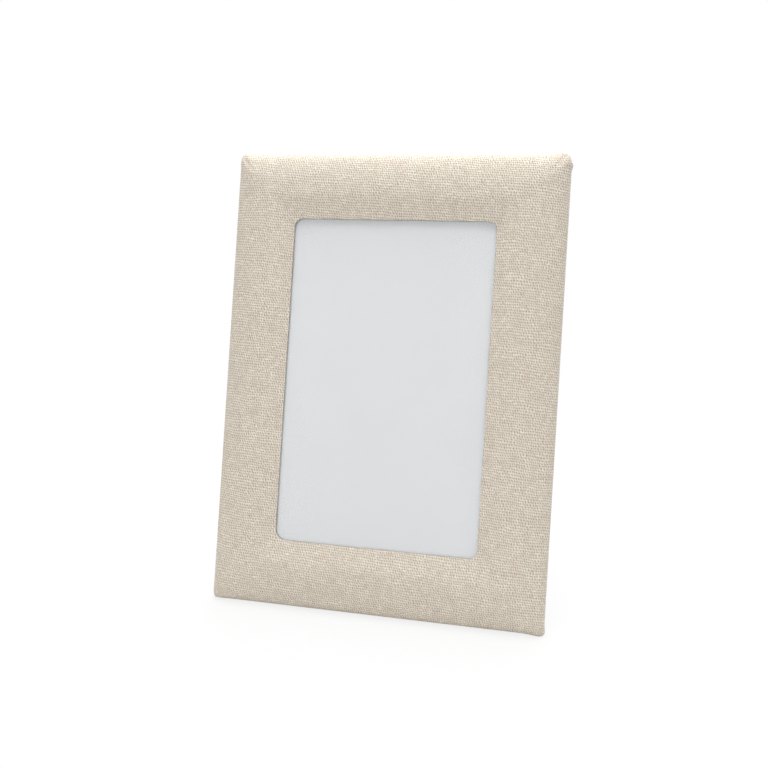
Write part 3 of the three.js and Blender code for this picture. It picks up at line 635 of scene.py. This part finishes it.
# Profile of the padded rail, as rows of inset and depth
def slope_fall(run):
    """How far the padding falls over a run from its crest: it bends, then goes straight to the window."""
    bent = np.minimum(run, CREST_BEND)
    return math.tan(WINDOW_SLOPE) * (run - bent + bent**2 / (2 * CREST_BEND))


def face_path():
    """The linen's face from its turned edge at the rear, over the dome, to its flap behind the window."""
    sweep = np.linspace(0, math.pi / 2, DOME_STEPS + 1)
    fold = np.linspace(WINDOW_SLOPE, math.pi, 2 * EDGE_STEPS + 1)
    rise = CREST_DEPTH - WALL_DEPTH
    slope = np.linspace(0, SLOPE_RUN, SLOPE_STEPS + 1)[1:-1]
    turn = np.linspace(TURN_WIDTH, REAR_EDGE_RADIUS, EDGE_STEPS)[:-1]
    flap = np.linspace(RAIL_WIDTH - WINDOW_EDGE_RADIUS, RAIL_WIDTH - FLAP_WIDTH, EDGE_STEPS)[1:]
    parts = [
        (turn, np.full(len(turn), LINEN_REAR)),
        (REAR_EDGE_RADIUS * (1 - np.sin(QUARTER)), LINEN_REAR + REAR_EDGE_RADIUS * (1 - np.cos(QUARTER))),
        (CREST_INSET * (1 - np.cos(sweep)), WALL_DEPTH + rise * np.sin(sweep)),
        (CREST_INSET + slope, CREST_DEPTH - slope_fall(slope)),
        (
            RAIL_WIDTH - WINDOW_EDGE_RADIUS * (1 - np.sin(fold)),
            FLAP_REAR + WINDOW_EDGE_RADIUS * (1 + np.cos(fold)),
        ),
        (flap, np.full(len(flap), FLAP_REAR)),
    ]
    return np.concatenate([np.stack(part, axis=1) for part in parts])


def offset_path(path, distance):
    """The path moved to the right of its direction, with mitred corners."""
    run = np.diff(path, axis=0)
    run /= np.linalg.norm(run, axis=1)[:, None]
    normal = np.stack([run[:, 1], -run[:, 0]], axis=1)
    before = np.concatenate([normal[:1], normal])
    after = np.concatenate([normal, normal[-1:]])
    mitre = before + after
    mitre /= np.linalg.norm(mitre, axis=1)[:, None]
    return path + mitre * (distance / (mitre * after).sum(1))[:, None]


def smoothstep(value, low, high):
    share = np.clip((value - low) / (high - low), 0, 1)
    return share * share * (3 - 2 * share)


def corner_radius(inset, outer_radius, window_radius):
    """A corner's radius at an inset: from the outer edge's to the mitre's, then to the window's."""
    band = WINDOW_EDGE_RADIUS + COVER_OFFSET
    window = window_radius + min(RAIL_WIDTH - inset, band)
    outer = outer_radius + (MITRE_RADIUS - outer_radius) * smoothstep(inset, 0, MITRE_REACH)
    share = smoothstep(inset, CREST_INSET, RAIL_WIDTH - band)
    return outer + (window - outer) * share


def ring(inset):
    """Points (x, z) round the frame at an inset, and the outward direction at each."""
    points = []
    normals = []
    for corner, (side_x, side_z) in enumerate(CORNERS):
        radius = corner_radius(inset, OUTER_RADII[corner], WINDOW_RADII[corner])
        centre = (np.array([HALF_WIDTH, HALF_HEIGHT]) - inset - radius) * (side_x, side_z)
        angles = (corner + np.linspace(0, 1, CORNER_STEPS + 1)) * math.pi / 2
        turning = np.stack([np.cos(angles), np.sin(angles)], axis=1)
        points.append(centre + radius * turning)
        normals.append(turning)
    even = np.linspace(0, 2 * math.pi, SIDE_STEPS + 1)[1:-1, None]
    share = (even - SIDE_CROWDING * np.sin(even)) / (2 * math.pi)
    for corner in range(4):
        start = points[corner][-1]
        end = points[(corner + 1) % 4][0]
        points[corner] = np.concatenate([points[corner], start + (end - start) * share])
        flat = np.repeat(normals[corner][-1:], SIDE_STEPS - 1, axis=0)
        normals[corner] = np.concatenate([normals[corner], flat])
    return np.concatenate(points), np.concatenate(normals)


def ring_grid(path):
    """Points of a path carried round the frame, as rows by columns by (x, y, z)."""
    rows = []
    for inset, depth in path:
        places, _ = ring(inset)
        rows.append(np.column_stack([places[:, 0], np.full(len(places), -depth), places[:, 1]]))
    return np.array(rows)


def surface_normals(grid):
    """Outward unit normals of a grid of points."""
    along = np.roll(grid, -1, axis=1) - np.roll(grid, 1, axis=1)
    across = np.gradient(grid, axis=0)
    normal = np.cross(across, along)
    return normal / np.linalg.norm(normal, axis=2)[..., None]


def padding_relief(grid):
    """Gentle unevenness of the padding, in millimetres along the surface's normal."""
    wave = 1 / PAD_WAVE
    values = [noise.noise(Vector((x * wave, y * wave, z * wave))) for x, y, z in grid.reshape(-1, 3)]
    return PAD_RELIEF * np.array(values).reshape(grid.shape[:2])


def padding_moves(path, face):
    """How far the uneven padding moves each point of the linen's face."""
    swell = padding_relief(face) * smoothstep(path[:, 1], FLAP_REAR, FOAM_REAR)[:, None]
    return surface_normals(face) * swell[..., None]


def corner_folds(grid, normal):
    """How far the folds at the corners move each point of the linen's face."""
    x, y, z = np.moveaxis(grid, 2, 0)
    from_side = HALF_WIDTH - np.abs(x)
    from_end = HALF_HEIGHT - np.abs(z)
    along = (from_side + from_end) / math.sqrt(2)
    across = (from_side - from_end) / math.sqrt(2)
    front = smoothstep(-y, WALL_DEPTH - WALL_HEIGHT, WALL_DEPTH + WALL_HEIGHT)
    ridge = RIDGE_HEIGHT * np.exp(-((across / RIDGE_HALF_WIDTH) ** 2))
    ridge *= (1 - smoothstep(along, RIDGE_REACH / 3, RIDGE_REACH)) * front
    moved = normal * ridge[..., None]
    outer = 1 - smoothstep(-y, WALL_DEPTH, CREST_DEPTH)
    outer *= smoothstep(-y, LINEN_REAR, LINEN_REAR + REAR_EDGE_RADIUS)
    for corner, (side_x, side_z) in enumerate(CORNERS):
        here = (np.sign(x) == side_x) & (np.sign(z) == side_z)
        reach = EAR_REACHES[corner]
        ear = EAR_HEIGHTS[corner] * np.exp(-((along / reach) ** 2)) * outer * here
        pinch = PINCH_DEPTHS[corner] * (1 - smoothstep(from_end, 0, TUCK_LENGTH)) * here
        pinch *= 1 - smoothstep(from_side, reach, 2 * reach)
        folded = 1 - smoothstep(from_end, TUCK_LENGTH, TUCK_LENGTH + LINEN_THICKNESS)
        tuck = TUCK_HEIGHTS[corner] * folded
        tuck *= (1 - smoothstep(from_side, 0, reach)) * outer * here
        moved[..., 0] += side_x * (tuck - pinch)
        moved[..., 2] += side_z * ear
    return moved


def cut_places(path, grid):
    """Where each point of the linen's face lay in the flat cut, in millimetres from its middle."""
    steps = np.linalg.norm(np.diff(path, axis=0), axis=1)
    arc_length = np.concatenate([[0], np.cumsum(steps)])
    crest = int(np.argmax(path[:, 1]))
    wall = int(np.flatnonzero(np.isclose(path[:, 1], WALL_DEPTH))[0])
    from_crest = arc_length - arc_length[crest]
    spare = -from_crest[wall : crest + 1] + path[wall : crest + 1, 0] - CREST_INSET
    insets = path[wall : crest + 1, 0]
    normals = ring(path[wall, 0])[1]

    def spread(values, half):
        inset = half - np.abs(values)
        return values + np.sign(values) * np.interp(inset, insets, spare)

    flat = np.zeros(grid.shape[:2] + (2,))
    for row in range(len(path)):
        x, z = grid[row, :, 0], grid[row, :, 2]
        if row > crest:
            inward = path[row, 0] - CREST_INSET - from_crest[row]
            flat[row] = np.stack([x, z], axis=1) + normals * inward
        else:
            flat[row] = np.stack([spread(x, HALF_WIDTH), spread(z, HALF_HEIGHT)], axis=1)
    for row in range(wall):
        flat[row] = flat[wall] + normals * (from_crest[wall] - from_crest[row])
    return flat


def set_cut(piece, places):
    """Stores each vertex's place in the flat cut, in metres, as a UV map."""
    mesh = piece.data
    layer = mesh.uv_layers.new(name="cut")
    corners = np.zeros(len(mesh.loops), np.int32)
    mesh.loops.foreach_get("vertex_index", corners)
    layer.data.foreach_set("uv", (places[corners] * MM).astype(np.float32).ravel())


def press_flat(piece):
    """Flattens what would reach under the floor."""
    for vertex in piece.data.vertices:
        vertex.co.z = max(vertex.co.z, 0.0)


def add_ring(name, grid, material, node):
    """A closed ring from a grid of points, in the place of a CAD node of the frame."""
    rows, columns = grid.shape[:2]
    piece = make_piece(name, grid.reshape(-1, 3), quad_grid(rows, columns, True), FRAME_SPACE, material)
    return stand_for(smooth_by_angle(piece), node, "frame")


def make_linen():
    """The linen as one closed sheet, with holes for the screws of the turn buttons."""
    path = face_path()
    lining = offset_path(path, LINEN_THICKNESS)
    face = ring_grid(path)
    back = ring_grid(lining)
    flat = cut_places(path, face)
    moved = padding_moves(path, face) + corner_folds(face, surface_normals(face))
    points = np.concatenate([face + moved, (back + moved)[::-1]])
    places = np.concatenate([flat, flat[::-1]])
    rows, columns = points.shape[:2]
    faces = quad_grid(rows, columns, True)
    piece = make_piece("linen", points.reshape(-1, 3), faces, FRAME_SPACE, LINEN)
    set_cut(piece, places.reshape(-1, 2))
    press_flat(piece)
    drill(piece, SCREW_PLACES, HOLE_RADIUS, FRAME_SPACE)
    stand_for(piece, "linen_cover", "frame")


def make_core_and_foam():
    """The core board, and the pad on it, which tapers past the board towards the fold at the window."""
    path = face_path()
    under = offset_path(path, COVER_OFFSET)
    crest = int(np.argmax(path[:, 1]))
    outer = under[:crest]
    inner = under[:crest:-1]
    core_outer = np.interp(CORE_FRONT, outer[:, 1], outer[:, 0])
    core_inner = np.interp(FOAM_REAR + CLEARANCE, inner[:, 1], inner[:, 0])
    corners = [
        (core_outer, CORE_REAR),
        (core_outer, CORE_FRONT),
        (core_inner, CORE_FRONT),
        (core_inner, CORE_REAR),
    ]
    add_ring("core", ring_grid(corners), BOARD, "core_board")

    foot = np.interp(FOAM_REAR, outer[:, 1], outer[:, 0])
    tip = np.interp(CORE_REAR, inner[:, 1], inner[:, 0])
    step = core_inner + SEAT_GAP
    seat = [(tip, CORE_REAR), (step, CORE_REAR), (step, FOAM_REAR), (foot, FOAM_REAR)]
    lowest = np.where(np.arange(len(path)) < crest, FOAM_REAR + CLEARANCE, CORE_REAR + SEAT_GAP)
    crown = under[:, 1] > lowest
    moved = padding_moves(path, ring_grid(path))
    grid = np.concatenate([ring_grid(under[crown]) + moved[crown], ring_grid(seat)])
    add_ring("foam", grid, foam_material(), "foam_pad")


# Boards, hinge and fastenings at the back
def rivet_places(nodes, space):
    """Where rivets pass through boards: x, reach on both sides, and z."""
    places = []
    for node in nodes:
        low, high = node_box(node, space)
        x, z = box_middle(low, high)
        places.append((x, low.y - CLEARANCE, high.y, z))
    return places


def cut_at_floor(piece):
    """Removes what lies under the floor and closes the cut."""
    work = bmesh.new()
    work.from_mesh(piece.data)
    everything = work.verts[:] + work.edges[:] + work.faces[:]
    cut = bmesh.ops.bisect_plane(
        work, geom=everything, plane_co=(0, 0, 0), plane_no=(0, 0, 1), clear_inner=True
    )
    edges = [edge for edge in cut["geom_cut"] if isinstance(edge, bmesh.types.BMEdge)]
    bmesh.ops.edgeloop_fill(work, edges=edges)
    work.to_mesh(piece.data)
    work.free()


def make_panel():
    low, high = node_box("back_panel", FRAME_SPACE)
    outline = rectangle(low.x, high.x, low.z, high.z, BOARD_CORNER_RADIUS, BOARD_CORNER_RADIUS)
    piece = plate("panel", outline, low.y, high.y - low.y, BOARD_ROUNDING, FRAME_SPACE, FLOCK)
    rivets = ["hinge_rivet_panel_left", "hinge_rivet_panel_right", "ribbon_rivet_panel"]
    drill(piece, rivet_places(rivets, FRAME_SPACE), RIVET_HOLE_RADIUS, FRAME_SPACE)
    stand_for(smooth_by_angle(piece), "back_panel", "frame")


def make_strut():
    low, high = node_box("strut_board", STRUT_SPACE)
    thickness = high.y - low.y
    foot = -hinge_place.z / MM / math.cos(STRUT_SPREAD) - thickness
    outline = [(-STRUT_FOOT_WIDTH / 2, foot), (STRUT_FOOT_WIDTH / 2, foot)]
    top = STRUT_TOP_WIDTH / 2 - STRUT_CORNER_RADIUS
    outline += arc(top, high.z - STRUT_CORNER_RADIUS, STRUT_CORNER_RADIUS, 0, 1)
    outline += arc(-top, high.z - STRUT_CORNER_RADIUS, STRUT_CORNER_RADIUS, 1, 2)
    piece = plate("strut", outline, low.y, thickness, BOARD_ROUNDING, STRUT_SPACE, FLOCK)
    rivets = ["hinge_rivet_strut_left", "hinge_rivet_strut_right", "ribbon_rivet_strut"]
    drill(piece, rivet_places(rivets, STRUT_SPACE), RIVET_HOLE_RADIUS, STRUT_SPACE)
    cut_at_floor(piece)
    stand_for(smooth_by_angle(piece), "strut_board", "strut")


def make_knuckle(x, length, root, space):
    """A strip from the leaf's plate, rolled round the pin."""
    outer = arc(0, 0, KNUCKLE_RADIUS, 2, 2 + KNUCKLE_TURN, ROUND_STEPS)
    inner = arc(0, 0, KNUCKLE_BORE, 2 + KNUCKLE_TURN, 2, ROUND_STEPS)
    section = [(-KNUCKLE_RADIUS, root), *outer, *inner, (-KNUCKLE_BORE, root)]
    points = [(x + side * length / 2, y, z) for side in (-1, 1) for y, z in section]
    count = len(section)
    faces = quad_grid(2, count, False) + [tuple(range(count)), tuple(range(count, 2 * count))]
    return make_piece("knuckle", points, faces, space, STEEL)


def make_leaf(name, node, knuckles, space, body):
    """A hinge leaf about the hinge's axis: a plate with rolled knuckles."""
    low, high = node_box(node, space)
    length = (high.x - low.x - 2 * CLEARANCE) / 3
    root = KNUCKLE_RADIUS + CLEARANCE
    outline = rectangle(low.x, high.x, root, high.z, LEAF_FOOT_RADIUS, LEAF_CORNER_RADIUS)
    piece = plate(name, outline, -KNUCKLE_RADIUS, LEAF_THICKNESS, LEAF_ROUNDING, space, STEEL)
    overlap = root + LEAF_FOOT_RADIUS + CLEARANCE
    rolls = [make_knuckle(step * (length + CLEARANCE), length, overlap, space) for step in knuckles]
    combine(piece, rolls, "UNION")
    stand_for(smooth_by_angle(piece), node, body)


def make_pin():
    _, high = node_box("hinge_pin", HINGE_SPACE)
    turned = HINGE_SPACE @ Matrix.Rotation(-math.pi / 2, 4, "Z")
    end = [(PIN_RADIUS * math.sin(a), high.x - PIN_RADIUS / 2 * (1 - math.cos(a))) for a in QUARTER]
    profile = [(radius, -along) for radius, along in end] + end[::-1]
    stand_for(lathe("pin", profile, turned, STEEL), "hinge_pin", "frame")


def make_rivet(node, space, body):
    """A turned rivet with a flared end and a domed head."""
    low, high = node_box(node, space)
    radius = (high.x - low.x) / 2
    head = high.y - RIVET_HEAD_HEIGHT
    dome = [(radius * math.cos(a), head + RIVET_HEAD_HEIGHT * math.sin(a)) for a in QUARTER]
    profile = [
        (0, low.y),
        (RIVET_FLARE_RADIUS, low.y),
        (RIVET_SHANK_RADIUS, low.y + RIVET_FLARE_HEIGHT),
        (RIVET_SHANK_RADIUS, head),
        *dome,
    ]
    x, z = box_middle(low, high)
    piece = lathe(node.replace("_", "."), profile, space @ Matrix.Translation((x, 0, z)), STEEL)
    stand_for(smooth_by_angle(piece), node, body)


def make_screw(place):
    """A slotted pan-head screw."""
    node = "turn_screw_" + place
    low, high = node_box(node, FRAME_SPACE)
    radius = (high.x - low.x) / 2
    head = high.y - SCREW_HEAD_HEIGHT
    rim = head + SCREW_HEAD_HEIGHT / 3
    dome = []
    for angle in QUARTER:
        across = radius * math.cos(angle) ** SCREW_DOME_POWER
        dome.append((across, rim + (high.y - rim) * math.sin(angle)))
    profile = [
        (0, low.y),
        (SCREW_SHANK_RADIUS, low.y + SCREW_SHANK_RADIUS),
        (SCREW_SHANK_RADIUS, head),
        (radius, head),
        *dome,
    ]
    x, z = box_middle(low, high)
    turn = Matrix.Rotation(SCREW_TURNS[place], 4, "Y")
    space = FRAME_SPACE @ Matrix.Translation((x, 0, z)) @ turn
    piece = lathe("screw." + place, profile, space, STEEL)
    half = SCREW_SLOT_WIDTH / 2
    slot = [(-radius * 2, -half), (radius * 2, -half), (radius * 2, half), (-radius * 2, half)]
    floor = high.y - SCREW_SLOT_DEPTH
    combine(piece, [plate("slot", slot, floor, SCREW_HEAD_HEIGHT, half / 4, space, STEEL)], "DIFFERENCE")
    stand_for(smooth_by_angle(piece), node, "frame")


def make_button(place):
    """A stamped turn button: two round ends joined by straight sides, with a hole at the pivot."""
    node = "turn_button_" + place
    low, high = node_box(node, FRAME_SPACE)
    pivot = FRAME_SPACE.inverted() @ Vector(joints["turn_" + place]["pos_m"])
    inward = -1 if pivot.x > 0 else 1
    root_radius = (high.z - low.z) / 2
    reach = high.x - low.x - root_radius - BUTTON_TIP_RADIUS
    tangent = math.acos((root_radius - BUTTON_TIP_RADIUS) / reach) / (math.pi / 2)
    outline = arc(reach, 0, BUTTON_TIP_RADIUS, -tangent, tangent, ROUND_STEPS // 2)
    outline += arc(0, 0, root_radius, tangent, 4 - tangent, ROUND_STEPS)
    outline = np.array(outline)
    hole = outline / np.linalg.norm(outline, axis=1)[:, None] * HOLE_RADIUS
    loops = []
    for angle in QUARTER:
        edge = inset_loop(outline, BUTTON_ROUNDING * (1 - math.sin(angle)))
        loops.append((edge, low.y + BUTTON_ROUNDING * (1 - math.cos(angle))))
    loops += [(edge, low.y + high.y - y) for edge, y in reversed(loops)]
    loops += [(hole, high.y), (hole, low.y)]
    points = [(pivot.x + inward * x, y, pivot.z + z) for edge, y in loops for x, z in edge]
    faces = quad_grid(len(loops), len(outline), True)
    piece = make_piece("button." + place, points, faces, FRAME_SPACE, STEEL)
    stand_for(smooth_by_angle(piece), node, "button_" + place)


def bend_curve(before, bend, after):
    """A rounded bend between two straight runs."""
    start = bend + (before - bend).normalized() * RIBBON_BEND
    end = bend + (after - bend).normalized() * RIBBON_BEND
    curve = []
    for t in np.linspace(0, 1, EDGE_STEPS + 1):
        curve.append(start * (1 - t) ** 2 + bend * (2 * t * (1 - t)) + end * t**2)
    return curve


def make_ribbon():
    """A satin ribbon riveted to the panel and to the strut, taut between them."""
    to_frame = FRAME_SPACE.inverted() @ STRUT_SPACE
    (_, _, _, on_panel), = rivet_places(["ribbon_rivet_panel"], FRAME_SPACE)
    (_, _, _, on_strut), = rivet_places(["ribbon_rivet_strut"], STRUT_SPACE)
    strut_low, _ = node_box("strut_board", STRUT_SPACE)
    panel_y = CLEARANCE + RIBBON_THICKNESS / 2
    strut_y = strut_low.y - CLEARANCE - RIBBON_THICKNESS / 2
    panel_bend = Vector((0, panel_y, on_panel - RIBBON_RIVET_RISE))
    panel_top = panel_bend + Vector((0, 0, RIBBON_TAB))
    strut_bend = to_frame @ Vector((0, strut_y, on_strut - RIBBON_RIVET_RISE))
    strut_top = to_frame @ Vector((0, strut_y, on_strut - RIBBON_RIVET_RISE + RIBBON_TAB))
    path = [panel_top, *bend_curve(panel_top, panel_bend, strut_bend)]
    path += [*bend_curve(panel_bend, strut_bend, strut_top), strut_top]
    middle = np.array(path)[:, 1:]
    lower = offset_path(middle, RIBBON_THICKNESS / 2)
    upper = offset_path(middle, -RIBBON_THICKNESS / 2)
    edge = RIBBON_WIDTH / 2
    half = edge - RIBBON_THICKNESS / 4
    section = [(-half, 0), (half, 0), (edge, 0.5), (half, 1), (-half, 1), (-edge, 0.5)]
    length = np.concatenate([[0], np.cumsum(np.linalg.norm(np.diff(middle, axis=0), axis=1))])
    points = []
    places = []
    for row in range(len(middle)):
        for x, share in section:
            y, z = lower[row] + (upper[row] - lower[row]) * share
            points.append((x, y, z))
            places.append((x, length[row]))
    count = len(section)
    faces = quad_grid(len(middle), count, False)
    faces += [tuple(range(count)), tuple(range(len(points) - count, len(points)))]
    piece = make_piece("ribbon", points, faces, FRAME_SPACE, ribbon_material())
    set_cut(piece, np.array(places))
    hole = RIBBON_THICKNESS * 2
    drill(piece, [(0, panel_y - hole, panel_y + hole, on_panel)], RIVET_HOLE_RADIUS, FRAME_SPACE)
    drill(piece, [(0, strut_y - hole, strut_y + hole, on_strut)], RIVET_HOLE_RADIUS, STRUT_SPACE)
    smooth_by_angle(piece)
    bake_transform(piece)
    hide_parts("stay_ribbon")


make_linen()
make_core_and_foam()
make_panel()
make_strut()
make_leaf("leaf.panel", "hinge_leaf_panel", [-1, 1], HINGE_SPACE, "frame")
make_leaf("leaf.strut", "hinge_leaf_strut", [0], STRUT_SPACE @ Matrix.Rotation(math.pi, 4, "Y"), "strut")
make_pin()
for side in ("left", "right"):
    make_rivet("hinge_rivet_panel_" + side, FRAME_SPACE, "frame")
    make_rivet("hinge_rivet_strut_" + side, STRUT_SPACE, "strut")
    for level in ("lower", "upper"):
        make_button(level + "_" + side)
        make_screw(level + "_" + side)
make_rivet("ribbon_rivet_panel", FRAME_SPACE, "frame")
make_rivet("ribbon_rivet_strut", STRUT_SPACE, "strut")
make_ribbon()

# Camera
camera = bpy.data.objects.new("camera", bpy.data.cameras.new("camera"))
bpy.context.scene.collection.objects.link(camera)
backward = Vector((
    math.sin(CAMERA_AZIMUTH) * math.cos(CAMERA_ELEVATION),
    -math.cos(CAMERA_AZIMUTH) * math.cos(CAMERA_ELEVATION),
    math.sin(CAMERA_ELEVATION),
))
camera.location = CAMERA_TARGET + backward * CAMERA_DISTANCE
camera.rotation_euler = (-backward).to_track_quat("-Z", "Y").to_euler()
camera.data.lens = camera.data.sensor_width * FOCAL_LENGTH / IMAGE_SIZE
camera.data.clip_start = 0.01
bpy.context.scene.camera = camera
bpy.context.scene.view_settings.view_transform = "Standard"

# Materials of the solids that stay
for node, material in {
    "backing_card": BOARD,
    **{"rebate_strip_" + side: WOOD for side in ("bottom", "top", "left", "right")},
    "rear_facing": facing_material(),
    "glass_pane": glass_material(),
    "picture_insert": paper_material(),
}.items():
    frame["nodes"][node].data.materials.clear()
    frame["nodes"][node].data.materials.append(material)

# White floor and sky, and soft light from overhead, behind, the front and the right
FLOOR_SIZE = 4.0
FLOOR_GAP = 0.0002
FLOOR_WHITENESS = 0.8  # share of plain white close to the frame; far away it is all white
FLOOR_BOUNCE = 0.8
FLOOR_NEAR = 0.10
FLOOR_FAR = 0.45
SKY_LIGHT = 0.47
# Each lamp's power in watts, and its size and place in metres
LAMPS = {
    "over": (4.3, 0.6, (0, 0, 0.85)),
    "back": (3.7, 0.6, (0, 0.35, 0.75)),
    "front": (2.0, 0.8, (0, -0.9, 0.25)),
    "right": (0.3, 0.6, (0.65, -0.3, 0.55)),
}


def seen_directly(tree):
    """1 for rays from the camera, also by a mirror or glass, and 0 once they leave a matt surface."""
    path = tree.nodes.new("ShaderNodeLightPath").outputs

    def combine_rays(operation, first, second):
        node = tree.nodes.new("ShaderNodeMath")
        node.operation = operation
        tree.links.new(first, node.inputs[0])
        tree.links.new(second, node.inputs[1])
        return node.outputs[0]

    seen = combine_rays("MAXIMUM", path["Is Camera Ray"], path["Is Glossy Ray"])
    seen = combine_rays("MAXIMUM", seen, path["Is Transmission Ray"])
    return combine_rays("GREATER_THAN", seen, path["Diffuse Depth"])


def make_floor():
    half = FLOOR_SIZE / 2
    mesh = bpy.data.meshes.new("floor")
    corners = [(-half, -half), (half, -half), (half, half), (-half, half)]
    mesh.from_pydata([(x, y, -FLOOR_GAP) for x, y in corners], [], [(0, 1, 2, 3)])
    floor = bpy.data.objects.new("floor", mesh)
    bpy.context.scene.collection.objects.link(floor)
    grey = opaque(FLOOR_BOUNCE, FLOOR_BOUNCE, FLOOR_BOUNCE)
    shader = Shader("floor", Base_Color=grey, Roughness=1.0, Specular_IOR_Level=0.0)
    white = shader.add("Emission", {"Color": WHITE, "Strength": 1.0}).outputs[0]
    away = shader.add("VectorMath", {0: shader.place()}, operation="LENGTH").outputs["Value"]
    whiteness = shader.scale(away, FLOOR_NEAR, FLOOR_FAR, FLOOR_WHITENESS, 1.0)
    shader.cover(shader.math("MULTIPLY", seen_directly(shader.tree), whiteness), white)
    mesh.materials.append(shader.material)


def make_sky():
    world = bpy.data.worlds.new("studio")
    bpy.context.scene.world = world
    world.use_nodes = True
    tree = world.node_tree
    sky = tree.nodes["Background"]
    sky.inputs["Color"].default_value = WHITE
    sky.inputs["Strength"].default_value = SKY_LIGHT
    white = tree.nodes.new("ShaderNodeBackground")
    white.inputs["Color"].default_value = WHITE
    white.inputs["Strength"].default_value = 1.0
    both = tree.nodes.new("ShaderNodeMixShader")
    tree.links.new(seen_directly(tree), both.inputs[0])
    tree.links.new(sky.outputs[0], both.inputs[1])
    tree.links.new(white.outputs[0], both.inputs[2])
    tree.links.new(both.outputs[0], tree.nodes["World Output"].inputs["Surface"])


def make_lamp(name, power, size, place):
    lamp = bpy.data.objects.new(name, bpy.data.lights.new(name, "AREA"))
    lamp.data.shape = "SQUARE"
    lamp.data.size = size
    lamp.data.energy = power
    lamp.location = place
    lamp.rotation_euler = (CAMERA_TARGET - Vector(place)).to_track_quat("-Z", "Y").to_euler()
    bpy.context.scene.collection.objects.link(lamp)


make_floor()
make_sky()
for name, settings in LAMPS.items():
    make_lamp("softbox." + name, *settings)
